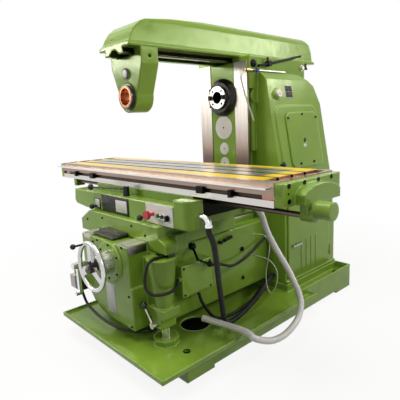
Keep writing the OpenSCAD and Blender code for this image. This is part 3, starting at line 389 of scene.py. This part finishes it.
for cord, top, foot in ((conduit_rest, conduit_foot[0], conduit_foot[-1]),
                        (hose, hose_path[0], hose_path[-1]),
                        (box_cable, metres(box_route[2]), metres(box_route[-3])),
                        (side_cable, metres(side_route[2]), metres(side_route[-3]))):
    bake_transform(cord)


# Base
# One iron casting with the chip tray round the knee, painted in thick gloss enamel over filler.
# Collars line its four anchor holes, and coolant drains into the round mouth of the sump.
def enamel(name, deep, bright, grime):
    """Gloss enamel over filled castings: slow waves of the filler, a fine orange peel, a tone that wanders
    between deep and bright, a paler line along edges that is a painted highlight on their rounding and partly
    worn paint, and grime that fades out upwards."""
    made, tree, shader, place = finish_of(name, Specular_IOR_Level=0.4, Specular_Tint=(0.75, 1.0, 0.55, 1))
    soft = add(tree, "Bevel", {"Radius": 0.013}, samples=8).outputs["Normal"]
    flat = add(tree, "NewGeometry", {}).outputs["True Normal"]
    along = add(tree, "VectorMath", {0: soft, 1: flat}, operation="DOT_PRODUCT").outputs["Value"]
    # Painted highlight: where the bevelled normal leaves the true normal, edges turn paler, partly standing
    # for worn paint.
    edge = spread(tree, along, 0.97, 0.80, 0.0, 0.7)
    edge_highlight_and_wear = tinted(tree, edge, patchy(tree, place, 2.6, deep, bright),
                  tuple(min(1.0, 1.5 * c + 0.12) for c in bright))
    low = spread(tree, parts_of(tree, place)["Z"], 0.0, 0.5, grime, 0.0)
    smear = calc(tree, "MULTIPLY", low, speckle(tree, place, 9, 0.2, 1.0))
    feed(tree, shader, Base_Color=tinted(tree, smear, edge_highlight_and_wear, tuple(0.35 * c for c in deep)),
         Roughness=speckle(tree, place, 24, 0.12, 0.24))
    filler = speckle(tree, place, 7, detail=2.0)
    peel = speckle(tree, place, 420, detail=1.0)
    waves = bumped(tree, shader, filler, strength=0.22, depth=0.004, under=soft)
    bumped(tree, shader, peel, strength=0.12, depth=0.0004, under=waves)
    return made


def dress(finish, *names):
    """Gives CAD nodes their finish."""
    for name in names:
        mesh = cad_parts[name].data
        mesh.materials.clear()
        mesh.materials.append(finish)


green_enamel = enamel("green_enamel", (0.195, 0.335, 0.035), (0.25, 0.41, 0.05), 0.35)
dress(green_enamel, "base")

# A ring can't shrink to a point, so a turned shape ends in a tip of this radius.
tip = 0.0001


def turned(profile, at, axis, sides=32, squarish=None):
    """Rings of a profile of (radius, distance along the axis) points, in metres, turned round an axis from a
    point. squarish names rows whose rings are hexagons: radius = r * cos 30 / cos(angle within one side)."""
    profile = np.array(profile, float)
    axis = np.array(axis, float) / np.linalg.norm(axis)
    u = np.cross(axis, (0.0, 0.0, 1.0) if abs(axis[2]) < 0.9 else (1.0, 0.0, 0.0))
    u /= np.linalg.norm(u)
    v = np.cross(axis, u)
    turn = 2 * np.pi * np.arange(sides) / sides
    swell = np.ones((len(profile), sides))
    if squarish is not None:
        swell[squarish] = np.cos(np.pi / 6) / np.cos(turn % (np.pi / 3) - np.pi / 6)
    ring = np.cos(turn)[:, None] * u + np.sin(turn)[:, None] * v
    out = profile[:, 0, None, None] * swell[..., None] * ring[None]
    return np.array(at, float) + out + profile[:, 1, None, None] * axis


def collar(inner, top, foot, high):
    """The profile of a collar with a straight bore, and an outside that goes from foot in to top."""
    return [(inner, 0), (inner, high), (top, high), (foot, 0), (inner, 0)]


def socket_screw(at, axis, r, high):
    """A socket-head screw: a chamfered round head with a hexagonal recess, standing on the point at."""
    profile = [(r, 0), (r, high * 0.85), (r * 0.88, high), (r * 0.58, high), (r * 0.58, high * 0.45),
               (tip, high * 0.4)]
    return turned(profile, at, axis, sides=24, squarish=[3, 4])


def hex_bolt(at, axis, r, high):
    """A hexagon bolt on its washer, standing on the point at."""
    profile = [(r * 1.3, 0), (r * 1.3, high * 0.2), (r, high * 0.2), (r, high * 0.9), (r * 0.85, high),
               (tip, high)]
    return turned(profile, at, axis, sides=24, squarish=[2, 3, 4])


def worked_steel(name, dark, pale, rough, lay, fine=1.0):
    """Ground or turned steel: scratches drawn out along the lay, patches of oil, and roughness that follows
    both."""
    made, tree, shader, place = finish_of(name, Metallic=1.0)
    drawn = add(tree, "Mapping", {"Vector": place, "Scale": lay})
    scratch = speckle(tree, drawn.outputs["Vector"], 55 * fine, detail=6.0)
    oil = calc(tree, "MULTIPLY", speckle(tree, place, 5), 0.4)
    wear = calc(tree, "MULTIPLY_ADD", scratch, 0.6, oil)
    feed(tree, shader, Base_Color=tinted(tree, wear, dark, pale),
         Roughness=spread(tree, wear, 0.0, 1.0, rough + 0.08, rough - 0.06))
    bumped(tree, shader, scratch, strength=0.15, depth=0.0003)
    return made


even = (1, 1, 1)
black_steel = worked_steel("black_steel", (0.006, 0.006, 0.006), (0.018, 0.018, 0.018), rough=0.42, lay=even)
bright_steel = worked_steel("bright_steel", (0.48, 0.47, 0.45), (0.72, 0.71, 0.69), rough=0.30, lay=even)


def screws(name, spots, axis, r, high, body):
    """Black socket-head screws of one size on those points."""
    skin(name, black_steel, [socket_screw(at, axis, r, high) for at in spots], body)


def circle(x, y, z, radius, degrees):
    """Points on an upright circle that faces the front."""
    return [(x + radius * np.cos(a), y, z + radius * np.sin(a)) for a in np.radians(degrees)]


base_top_z, tray_floor_z = 0.147, 0.104
anchor_spots = [(x, y, base_top_z if x < 0 < y else tray_floor_z)
                for x in (-0.29, 0.44) for y in (-0.742, 0.548)]
skin("anchor_collars", black_steel,
     [turned(collar(0.0105, 0.016, 0.016, 0.003), spot, to_top) for spot in anchor_spots],
     "frame", ends=False)
skin("sump_strainer", black_steel,
     [turned([(0.0745, 0), (0.0745, 0.003), (tip, 0.003)], (0.275, -0.542, 0.094), to_top, sides=48)],
     "frame")

# Column
# A tall iron casting with leaning sides. Two ground slideways carry the knee, and round caps close the shaft
# bores in the green strip between them. The gearbox cover, sight glass and blank data plate are on its right.
spindle_z = 1.242
dress(green_enamel, "column", "gearbox_cover", "cabinet_door")
way_steel = worked_steel("way_steel", (0.36, 0.33, 0.30), (0.58, 0.55, 0.51), rough=0.34, lay=(1, 1, 0.03))
way_tree, way_shader, way_place, way_bare = opened(way_steel)
way_rubbed = spread(way_tree, parts_of(way_tree, way_place)["Z"], 1.10, 0.93)
feed(way_tree, way_shader, Base_Color=tinted(way_tree, way_rubbed, way_bare, (0.25, 0.19, 0.165)))
dress(way_steel, "column_ways")
cap_paint = rubber("cap_paint", (0.72, 0.72, 0.70), (0.82, 0.82, 0.80), rough=0.35)
dress(cap_paint, "strip_discs")
cover_iron = worked_steel("cover_iron", (0.018, 0.017, 0.016), (0.05, 0.048, 0.045), rough=0.38, lay=even)
dress(cover_iron, "spindle_cover")
glass_ring = rubber("glass_ring", (0.75, 0.74, 0.71), (0.85, 0.84, 0.81), rough=0.25)
dress(glass_ring, "sight_glass")

slope_x, slope_z = 386, 640
slope_lean = np.arctan2(124, 690)
slope_out = np.array((np.cos(slope_lean), 0, np.sin(slope_lean)))
slope_up = np.array((-np.sin(slope_lean), 0, np.cos(slope_lean)))
cover_thick = 16


def on_slope(out, y, climb):
    """A point on the column's leaning right side, in metres from millimetres out, back and up the slope."""
    return (np.array((slope_x, y, slope_z)) + out * slope_out + climb * slope_up) / 1000


screws("gearbox_screws",
       [on_slope(cover_thick, y, climb)
        for y, climb in ((206, 470), (351, 491), (496, 470), (269, 200), (407, 200))],
       slope_out, r=0.0065, high=0.006, body="frame")


def plate(at, across, upward, width, height, thick, corner):
    """Rings of a thin plate with round corners and an eased front edge. at is the middle of its back face,
    and the plate grows along across x upward. A corner of the ring is: half size minus radius, plus
    radius * (cos, sin)."""
    across, upward = np.array(across, float), np.array(upward, float)
    out = np.cross(across, upward)
    sides = 40
    turn = 2 * np.pi * (np.arange(sides) + 0.5) / sides
    rows = []
    for depth, inset in ((0, 0), (0.6 * thick, 0), (thick, 0.5 * thick)):
        r = max(corner - inset, tip)
        x = np.sign(np.cos(turn)) * (width / 2 - inset - r) + r * np.cos(turn)
        y = np.sign(np.sin(turn)) * (height / 2 - inset - r) + r * np.sin(turn)
        rows.append(np.array(at) + x[:, None] * across + y[:, None] * upward + depth * out)
    return np.array(rows)


def slope_plate(out, y, climb, width, height, thick, corner):
    """A plate on the column's leaning side."""
    return plate(on_slope(out, y, climb), to_back, slope_up, width, height, thick, corner)


def front_plate(at, width, height, thick, corner):
    """A plate that faces the front."""
    return plate(at, to_right, to_top, width, height, thick, corner)


plate_black = rubber("plate_black", (0.006, 0.006, 0.006), (0.012, 0.012, 0.012), rough=0.4, shine=0.2)
plate_white = rubber("plate_white", (0.62, 0.62, 0.61), (0.74, 0.74, 0.73), rough=0.4)
data_y, data_climb, field_step = 276, 628, 17
skin("data_plate", plate_white,
     [slope_plate(0, data_y, data_climb, width=0.074, height=0.074, thick=0.0015, corner=0.003)],
     "frame")
skin("data_fields", plate_black,
     [slope_plate(1.5, data_y + side * field_step, data_climb + row * field_step,
                  width=0.0325, height=0.0325, thick=0.0005, corner=0.002)
      for side in (-1, 1) for row in (-1, 1)], "frame")
skin("cover_label", plate_white,
     [slope_plate(cover_thick, 338, 303, width=0.030, height=0.018, thick=0.001, corner=0.002)],
     "frame")
copper = worked_steel("copper", (0.26, 0.15, 0.10), (0.46, 0.31, 0.24), rough=0.28, lay=even)
skin("sight_window", copper,
     [turned([(0.0095, 0), (0.0095, 0.0008), (0.006, 0.0022), (tip, 0.0028)], on_slope(24, 155, 612),
             slope_out)], "frame")
black_ball = rubber("black_ball", (0.006, 0.006, 0.006), (0.014, 0.014, 0.013), rough=0.22, shine=0.3)
skin("cover_plug", black_ball,
     [turned([(0.0146, 0), (0.0146, 0.006), (0.012, 0.0066), (tip, 0.0066)], on_slope(8.2, 343, 333),
             slope_out)], "frame")
skin("side_knob", black_ball,
     [turned([(0.007, -0.002), (0.007, 0.008), (0.012, 0.012), (0.015, 0.019), (0.013, 0.026), (0.007, 0.030),
              (tip, 0.031)], on_slope(0, 98, 210), slope_out)], "frame")
skin("disc_centres", black_ball,
     [turned([(r, 0), (r, 0.0012), (tip, 0.0014)], (0, 0.001, z), to_front)
      for z, r in ((1.067, 0.005), (0.942, 0.004), (0.854, 0.004))], "frame")
screws("cover_screws", circle(0, -0.019, spindle_z, 0.097, (30, 90, 150, 210, 270, 330)),
       to_front, r=0.006, high=0.005, body="frame")
skin("clamp_dome", black_steel,
     [turned([(0.021, 0), (0.021, 0.006), (0.017, 0.013), (0.009, 0.017), (tip, 0.018)],
             (0.205, 0.040, 1.414), to_right)], "frame")
skin("clamp_bolt", bright_steel, [hex_bolt((0.205, 0.514, 1.412), to_right, r=0.014, high=0.016)],
     "frame")

# Electrics cabinet
# A sheet-steel door with pressed ribs closes the cabinet in the column's foot. It hangs on two barrel hinges.
# Behind it a pale plate carries rows of contactors.
plate_front_x = 0.2465
cabinet_white, cabinet_tree, cabinet_shader, cabinet_place = finish_of("cabinet_white", Roughness=0.4)
cabinet_front = calc(cabinet_tree, "GREATER_THAN", parts_of(cabinet_tree, cabinet_place)["X"], plate_front_x)
cabinet_plate = patchy(cabinet_tree, cabinet_place, 20, (0.6, 0.6, 0.58), (0.7, 0.7, 0.68))
feed(cabinet_tree, cabinet_shader,
     Base_Color=tinted(cabinet_tree, cabinet_front, cabinet_plate, (0.06, 0.06, 0.065)))
bumped(cabinet_tree, cabinet_shader, speckle(cabinet_tree, cabinet_place, 300), strength=0.1, depth=0.0005)
dress(cabinet_white, "electrics_panel")


def polished(name, tint, rough, scale):
    """Plated and polished steel: nearly a mirror, with faint wiping marks."""
    made, tree, shader, place = finish_of(name, Metallic=1.0)
    pale = tuple(min(1.0, 1.08 * c) for c in tint)
    feed(tree, shader, Base_Color=patchy(tree, place, scale, tint, pale),
         Roughness=speckle(tree, place, 4 * scale, rough - 0.04, rough + 0.06))
    bumped(tree, shader, speckle(tree, place, 12 * scale), strength=0.04, depth=0.0004)
    return made


chrome = polished("chrome", (0.72, 0.72, 0.72), rough=0.14, scale=12)
lock_plate = polished("lock_plate", (0.30, 0.30, 0.29), rough=0.24, scale=12)
dress(lock_plate, "door_lock")


# Spindle and drive
# The spindle has a hardened and ground nose with a steep taper, four tapped holes and two blackened drive
# keys. It runs in two bearings, and its gear meets the gear on the motor's shaft inside the column.
def from_axis(tree, place, x, z):
    """The distance of a place from an axis that runs from front to back."""
    middle = add(tree, "Mapping", {"Vector": place, "Location": (-x, 0, -z), "Scale": (1, 0, 1)})
    return add(tree, "VectorMath", {0: middle.outputs["Vector"]}, operation="LENGTH").outputs["Value"]


nose_front_y = -0.0468
taper_r = 0.0347
nose_steel = worked_steel("nose_steel", (0.55, 0.54, 0.52), (0.78, 0.77, 0.75), rough=0.26, lay=even,
                          fine=2.0)
dress(nose_steel, "spindle", "spindle_bearings")
nose_tree, nose_shader, nose_place, nose_bare = opened(nose_steel)
# Painted shade: the taper bore inside the nose is coloured near black.
nose_bore_shade = calc(nose_tree, "LESS_THAN", from_axis(nose_tree, nose_place, 0, spindle_z), taper_r)
feed(nose_tree, nose_shader, Base_Color=tinted(nose_tree, nose_bore_shade, nose_bare, (0.02, 0.02, 0.02)))
# Painted shade: black sleeves line the four tapped holes and stand in for the shade inside them, partly for
# their dark threads.
skin("nose_hole_shade", black_steel,
     [turned([(0.0069, 0), (0.0069, 0.025), (tip, 0.025)], at, to_back)
      for at in circle(0, nose_front_y, spindle_z, 0.0508, (45, 135, 225, 315))],
     "spindle", ends=False)
dress(black_steel, "drive_keys")
gear_steel = worked_steel("gear_steel", (0.35, 0.35, 0.34), (0.55, 0.55, 0.53), rough=0.35, lay=(1, 0.05, 1))
dress(gear_steel, "spindle_gear", "motor_rotor")
motor_grey = rubber("motor_grey", (0.10, 0.105, 0.11), (0.15, 0.155, 0.16), rough=0.5)
dress(motor_grey, "main_motor")


# Overarm and arbor support
# The overarm is a crowned casting that slides in a dovetail on the column's head and is locked with a black
# lever. Its dovetail is bare and oily, and its near-black colour there is partly painted shade under the arm.
# The arbor support hangs from it and holds the arbor's end in a copper-coloured bush with a steel rim.
def renamed(paint, name):
    """A copy of a paint with its own name."""
    made = paint.copy()
    made.name = name
    return made


def two_tone(name, mask, scale, dark, pale, other, rough_scale, smooth, rough, **sockets):
    """A finish that wanders between dark and pale, and has another colour where its mask is 1."""
    made, tree, shader, place = finish_of(name, **sockets)
    tone = patchy(tree, place, scale, dark, pale)
    feed(tree, shader, Base_Color=tinted(tree, mask(tree, place), tone, other),
         Roughness=speckle(tree, place, rough_scale, smooth, rough))
    return made


def bush_rim(tree, place):
    """1 on the steel rim round the bush."""
    return calc(tree, "GREATER_THAN", from_axis(tree, place, 0, spindle_z), 0.049)


dress(green_enamel, "arbor_support")
dovetail_z, overarm_front_y = 1.4588, -0.7185
overarm_enamel = renamed(green_enamel, "overarm_enamel")
overarm_tree, overarm_shader, overarm_place, overarm_paint = opened(overarm_enamel)
overarm_at = parts_of(overarm_tree, overarm_place)
overarm_bare = calc(overarm_tree, "MULTIPLY", calc(overarm_tree, "LESS_THAN", overarm_at["Z"], dovetail_z),
                    calc(overarm_tree, "GREATER_THAN", overarm_at["Y"], overarm_front_y))
# Bare, oily dovetail whose near-black colour is partly painted shade under the arm.
overarm_oily_shade = patchy(overarm_tree, overarm_place, 30, (0.02, 0.015, 0.012), (0.05, 0.04, 0.035))
feed(overarm_tree, overarm_shader, Base_Color=tinted(overarm_tree, overarm_bare, overarm_paint, overarm_oily_shade),
     Metallic=overarm_bare)
dress(overarm_enamel, "overarm")
bush_copper = two_tone("bush_copper", bush_rim, 60, (0.46, 0.18, 0.08), (0.68, 0.32, 0.17),
                       (0.13, 0.12, 0.105), rough_scale=90, smooth=0.22, rough=0.36, Metallic=1.0)
dress(bush_copper, "arbor_bush")
dress(black_steel, "overarm_lever")
cap_at = (0, -0.663, 1.350)
skin("support_cap", cap_paint,
     [turned([(0.020, 0), (0.020, 0.004), (0.017, 0.007), (tip, 0.0085)], cap_at, to_front)],
     "arbor_support")
skin("support_ring", black_steel, [turned(collar(0.020, 0.0245, 0.0245, 0.003), cap_at, to_front)],
     "arbor_support", ends=False)
red_mark = rubber("red_mark", (0.45, 0.02, 0.02), (0.62, 0.04, 0.03), rough=0.35)
skin("overarm_plug", red_mark,
     [turned([(0.008, -0.004), (0.008, 0.001), (0.006, 0.002), (tip, 0.002)], (-0.045, -0.697, 1.508),
             (0, -0.92, 0.4))], "overarm")


# Coolant pipe
# A zinc-plated pipe runs along the column's head to a brass fitting. A small blue tap opens the thin tube
# below it.
def pipe_fitting(tree, place):
    """1 on the brass fitting at the front of the pipe."""
    return calc(tree, "LESS_THAN", parts_of(tree, place)["Y"], 0.001)


pipe_zinc = two_tone("pipe_zinc", pipe_fitting, 70, (0.50, 0.50, 0.49), (0.70, 0.70, 0.69),
                     (0.40, 0.33, 0.16), rough_scale=90, smooth=0.22, rough=0.4, Metallic=1.0)
dress(pipe_zinc, "coolant_pipe")
blue_tap = rubber("blue_tap", (0.012, 0.02, 0.10), (0.02, 0.035, 0.15), rough=0.35)
dress(blue_tap, "coolant_valve")


# Knee
# The knee casting slides on the column and carries the saddle on two ground ways. A sleeve on its right holds
# the brace post, and switch boxes are screwed to both sides.
def switch_and_box_shade(tree, place):
    """1 on the limit switch, which is black, and on the stop box's right half, whose black is painted shade.
    """
    return calc(tree, "GREATER_THAN", parts_of(tree, place)["X"], -0.278)


knee_front_y = -0.862
along_way = (1.0, 0.05, 1.0)
wheel_x, wheel_z = 0.048, 0.471
dress(green_enamel, "knee", "junction_box")
cross_way_steel = worked_steel("cross_way_steel", (0.40, 0.38, 0.35), (0.66, 0.64, 0.60), rough=0.32,
                               lay=(1.0, 0.03, 1.0))
dress(cross_way_steel, "knee_ways")
post_steel = worked_steel("post_steel", (0.46, 0.42, 0.36), (0.66, 0.62, 0.55), rough=0.28, lay=(1, 1, 0.05))
dress(post_steel, "brace_post", "elevating_screw", "elevating_nut")
cover_dark = worked_steel("cover_dark", (0.05, 0.048, 0.042), (0.12, 0.115, 0.10), rough=0.36, lay=along_way)
skin("chip_cover", cover_dark,
     [plate((-0.045, y, z), to_right, to_back, width=width, height=deep, thick=0.010, corner=0.003)
      for y, z, width, deep in ((-0.800, 0.5725, 0.190, 0.084), (-0.772, 0.5795, 0.202, 0.070))],
     "saddle")
way_grey = worked_steel("way_grey", (0.10, 0.095, 0.085), (0.19, 0.18, 0.165), rough=0.34, lay=along_way)
skin("way_side", way_grey,
     [plate((0.205, -0.8085, 0.547), to_back, to_top, width=0.103, height=0.036, thick=0.002, corner=0.002)],
     "knee")
label_grey = rubber("label_grey", (0.45, 0.46, 0.46), (0.58, 0.59, 0.59), rough=0.35)
skin("knee_plate", label_grey,
     [front_plate((0.0255, knee_front_y, 0.2755), width=0.081, height=0.153, thick=0.0015, corner=0.003)],
     "knee")
skin("knee_label", plate_white,
     [front_plate((-0.169, knee_front_y, 0.5535), width=0.060, height=0.018, thick=0.001, corner=0.002)],
     "knee")
skin("side_plugs", black_steel,
     [socket_screw((0.270, -0.168, 0.404), to_right, r=0.013, high=0.007),
      socket_screw((0.270, -0.166, 0.235), to_right, r=0.010, high=0.006)], "knee")
screws("knee_screws",
       [(x, knee_front_y, z)
        for x, z in ((-0.110, 0.540), (-0.065, 0.556), (0.160, 0.560), (0.190, 0.330), (0.196, 0.182))],
       to_front, r=0.0055, high=0.004, body="knee")
screws("flange_screws", circle(wheel_x, -0.872, wheel_z, 0.084, (25, 85, 145, 205, 265, 325)),
       to_front, r=0.0055, high=0.004, body="knee")
screws("box_screws", [(0.340, y, z) for y in (-0.650, -0.483) for z in (0.310, 0.440)],
       to_right, r=0.005, high=0.004, body="knee")
# The stop box's right half is painted near black as shade; the limit switch is truly black.
box_grey = two_tone("box_grey", switch_and_box_shade, 30, (0.50, 0.50, 0.49), (0.60, 0.60, 0.59), (0.02, 0.02, 0.02),
                    rough_scale=50, smooth=0.3, rough=0.45)
dress(box_grey, "switch_boxes")
red_button = rubber("red_button", (0.50, 0.015, 0.02), (0.66, 0.03, 0.035), rough=0.22)
dress(red_button, "stop_button", "panel_stop")
dress(black_steel, "feed_lever", "knee_clamp_lever")
clamp_ball_z = 0.2775
clamp_steel, clamp_tree, clamp_shader, clamp_place = finish_of("clamp_steel")
clamp_rod = calc(clamp_tree, "LESS_THAN", parts_of(clamp_tree, clamp_place)["Z"], clamp_ball_z)
clamp_tone = patchy(clamp_tree, clamp_place, 60, (0.36, 0.33, 0.29), (0.56, 0.52, 0.46))
feed(clamp_tree, clamp_shader, Base_Color=tinted(clamp_tree, clamp_rod, (0.015, 0.015, 0.015), clamp_tone),
     Metallic=clamp_rod, Roughness=speckle(clamp_tree, clamp_place, 80, 0.22, 0.36))
dress(clamp_steel, "post_clamp_lever")


# Handwheel
# The cross-feed handwheel is plated and has three broad spokes. It is keyed to the screw in front of a turned
# dial whose rim is divided with fine lines. The crank beside it raises the knee.
def wheel_hub(tree, place):
    """1 on the dark hub of the wheel."""
    return calc(tree, "LESS_THAN", from_axis(tree, place, wheel_x, wheel_z), 0.0302)


def dial_lines(tree, place):
    """Lines round the dial's rim: 1 in the first part of each step, where the rim reaches."""
    steps, line_share = 120, 0.22
    middle = add(tree, "Mapping", {"Vector": place, "Location": (-wheel_x, 0, -wheel_z)})
    at = parts_of(tree, middle.outputs["Vector"])
    step = calc(tree, "MULTIPLY", calc(tree, "ARCTAN2", at["X"], at["Z"]), steps / (2 * np.pi))
    line = calc(tree, "LESS_THAN", calc(tree, "FRACT", step), line_share)
    near = spread(tree, at["Y"], -0.912, -0.911, 1, 0)
    far = calc(tree, "GREATER_THAN", at["Y"], -0.9305)
    return calc(tree, "MULTIPLY", calc(tree, "MULTIPLY", line, near), far)


dress(chrome, "elevating_crank", "conduit_elbow")
wheel_plate = two_tone("wheel_plate", wheel_hub, 12, (0.52, 0.52, 0.52), (0.66, 0.66, 0.65),
                       (0.035, 0.033, 0.03), rough_scale=50, smooth=0.12, rough=0.22, Metallic=1.0)
dress(wheel_plate, "handwheel")
dial_steel = two_tone("dial_steel", dial_lines, 80, (0.50, 0.49, 0.46), (0.70, 0.69, 0.65),
                      (0.03, 0.03, 0.03), rough_scale=100, smooth=0.22, rough=0.36, Metallic=1.0)
dress(dial_steel, "cross_screw")
dress(black_ball, "wheel_handle")

# Saddle and feed box
# The saddle casting guides the table, and its upper ends carry painted shade: near-black colour with weak
# gloss stands in for the shadow under the table's ends. The feed box across its front holds the feed gears, a
# black lever, two pull knobs and a white panel of buttons, with blank plates beside them.
dress(green_enamel, "feed_box")
shade_end_x, shade_end_z = 0.4195, 0.684
saddle_enamel = renamed(green_enamel, "saddle_enamel")
saddle_tree, saddle_shader, saddle_place, saddle_paint = opened(saddle_enamel)
saddle_at = parts_of(saddle_tree, saddle_place)
# Painted shade: the saddle's upper ends are coloured near black, with less gloss.
saddle_end = calc(saddle_tree, "GREATER_THAN", calc(saddle_tree, "ABSOLUTE", saddle_at["X"]), shade_end_x)
saddle_end_shade = calc(saddle_tree, "MULTIPLY", saddle_end,
                   calc(saddle_tree, "GREATER_THAN", saddle_at["Z"], shade_end_z))
feed(saddle_tree, saddle_shader,
     Base_Color=tinted(saddle_tree, saddle_end_shade, saddle_paint, (0.006, 0.005, 0.004)),
     Specular_IOR_Level=calc(saddle_tree, "MULTIPLY_ADD", saddle_end_shade, -0.35, 0.4))
dress(saddle_enamel, "saddle")
panel_white = rubber("panel_white", (0.86, 0.86, 0.85), (0.94, 0.94, 0.93), rough=0.3)
dress(panel_white, "control_panel")
dress(black_ball, "table_lever", "left_knob", "right_knob", "panel_jog", "selector")
green_button = rubber("green_button", (0.01, 0.10, 0.03), (0.02, 0.16, 0.05), rough=0.25)
dress(green_button, "panel_start")
dress(copper, "feed_nuts")
face_y = -0.720
field_y = face_y - 0.002
panel_y = face_y - 0.004
skin("feed_plate", plate_black,
     [front_plate((-0.109, face_y, 0.703), width=0.266, height=0.092, thick=0.002, corner=0.003),
      front_plate((-0.289, face_y, 0.692), width=0.062, height=0.062, thick=0.002, corner=0.003)],
     "saddle")
skin("feed_fields", plate_white,
     [front_plate((-0.045, field_y, 0.702), width=0.104, height=0.062, thick=0.0006, corner=0.002),
      front_plate((-0.289, field_y, 0.695), width=0.046, height=0.044, thick=0.0006, corner=0.002)],
     "saddle")
skin("button_rings", chrome,
     [turned(collar(0.0098, 0.013, 0.0135, 0.002), (x, panel_y, z), to_front)
      for x, z in ((0.272, 0.698), (0.300, 0.697))], "saddle", ends=False)
skin("panel_screws", bright_steel,
     [socket_screw((x, panel_y, z), to_front, r=0.0035, high=0.002)
      for x in (0.184, 0.365) for z in (0.666, 0.742)], "saddle")
screws("apron_screws",
       [(x, -0.755, z) for x, z in ((-0.36, 0.60), (-0.19, 0.63), (0.09, 0.63), (0.20, 0.60))],
       to_front, r=0.0055, high=0.004, body="saddle")


# Table
# The table is ground iron with three T-slots and coolant troughs at its ends. Yellow lines are painted round
# the working face. Dogs sit in a groove along its front below a pale drip lip, and painted brackets close its
# ends.
def band(tree, value, low, high):
    """1 where the value lies between low and high."""
    over = calc(tree, "GREATER_THAN", value, low)
    return calc(tree, "MULTIPLY", over, calc(tree, "LESS_THAN", value, high))


face_z, slot_top_z, slot_floor_z, groove_z = 0.8848, 0.8838, 0.80, 0.834
front_y, slot_front_y, trough_x = -0.6425, -0.640, 0.792
yellow_front, yellow_back, yellow_end = (-0.625, -0.549), (-0.298, -0.246), (0.712, 0.790)
along_table = (0.03, 1, 1)

table_iron, table_tree, table_shader, table_place = finish_of("table_iron")
table_drawn = add(table_tree, "Mapping", {"Vector": table_place, "Scale": along_table}).outputs["Vector"]
table_at = parts_of(table_tree, table_place)
table_x = calc(table_tree, "ABSOLUTE", table_at["X"])
table_scratch = speckle(table_tree, table_drawn, 60, detail=6.0)
table_wear = calc(table_tree, "MULTIPLY", table_scratch, speckle(table_tree, table_place, 5))
table_ground = tinted(table_tree, table_wear, (0.42, 0.39, 0.34), (0.68, 0.65, 0.60))

table_upper = calc(table_tree, "GREATER_THAN", table_at["Z"], groove_z)
table_apron = tinted(table_tree, table_upper, (0.62, 0.59, 0.56), (0.34, 0.25, 0.20))
table_front = calc(table_tree, "LESS_THAN", table_at["Y"], front_y)
table_outside = tinted(table_tree, table_front, table_ground, table_apron)

table_trough = calc(table_tree, "GREATER_THAN", table_x, trough_x)
# Painted shade with some oil: the T-slots are coloured near black inside, while the end troughs keep a
# pinkish-brown dirt.
slot_shade_and_trough_dirt = tinted(table_tree, table_trough, (0.05, 0.04, 0.032), (0.40, 0.23, 0.19))
table_hollow = calc(table_tree, "MULTIPLY", band(table_tree, table_at["Z"], slot_floor_z, slot_top_z),
                    calc(table_tree, "GREATER_THAN", table_at["Y"], slot_front_y))
table_tone = tinted(table_tree, table_hollow, table_outside, slot_shade_and_trough_dirt)

table_lines = calc(table_tree, "MAXIMUM", band(table_tree, table_at["Y"], *yellow_front),
                   band(table_tree, table_at["Y"], *yellow_back))
table_long = calc(table_tree, "MULTIPLY", table_lines, calc(table_tree, "LESS_THAN", table_x, yellow_end[1]))
table_ends = calc(table_tree, "MULTIPLY", band(table_tree, table_x, *yellow_end),
                  band(table_tree, table_at["Y"], yellow_front[0], yellow_back[1]))
table_yellow = calc(table_tree, "MULTIPLY", calc(table_tree, "MAXIMUM", table_long, table_ends),
                    calc(table_tree, "GREATER_THAN", table_at["Z"], face_z))
table_paint = patchy(table_tree, table_place, 20, (0.80, 0.52, 0.01), (0.88, 0.62, 0.03))
feed(table_tree, table_shader, Base_Color=tinted(table_tree, table_yellow, table_tone, table_paint),
     Metallic=calc(table_tree, "SUBTRACT", 1.0, table_yellow),
     Roughness=speckle(table_tree, table_drawn, 60, 0.24, 0.40))
bumped(table_tree, table_shader, table_scratch, strength=0.12, depth=0.0003)
dress(table_iron, "table")

dress(green_enamel, "table_ends")
dress(black_steel, "trip_dogs")
shaft_brown = worked_steel("shaft_brown", (0.10, 0.075, 0.06), (0.20, 0.155, 0.125), rough=0.34,
                           lay=along_table)
dress(shaft_brown, "feed_shaft")
lip_zinc = worked_steel("lip_zinc", (0.62, 0.62, 0.61), (0.80, 0.80, 0.79), rough=0.34, lay=along_table)
dress(lip_zinc, "table_lip")
dress(post_steel, "lead_screw")
bracket_x, screw_r, pin_r = 0.890, 0.0095, 0.004
skin("bracket_screws", black_steel,
     [socket_screw((bracket_x, y, z), to_right, r=r, high=0.002)
      for y, z, r in ((-0.601, 0.868, screw_r), (-0.503, 0.869, screw_r), (-0.408, 0.869, screw_r),
                      (-0.312, 0.869, screw_r), (-0.600, 0.812, screw_r), (-0.305, 0.804, screw_r),
                      (-0.604, 0.841, pin_r), (-0.311, 0.841, pin_r))], "table")
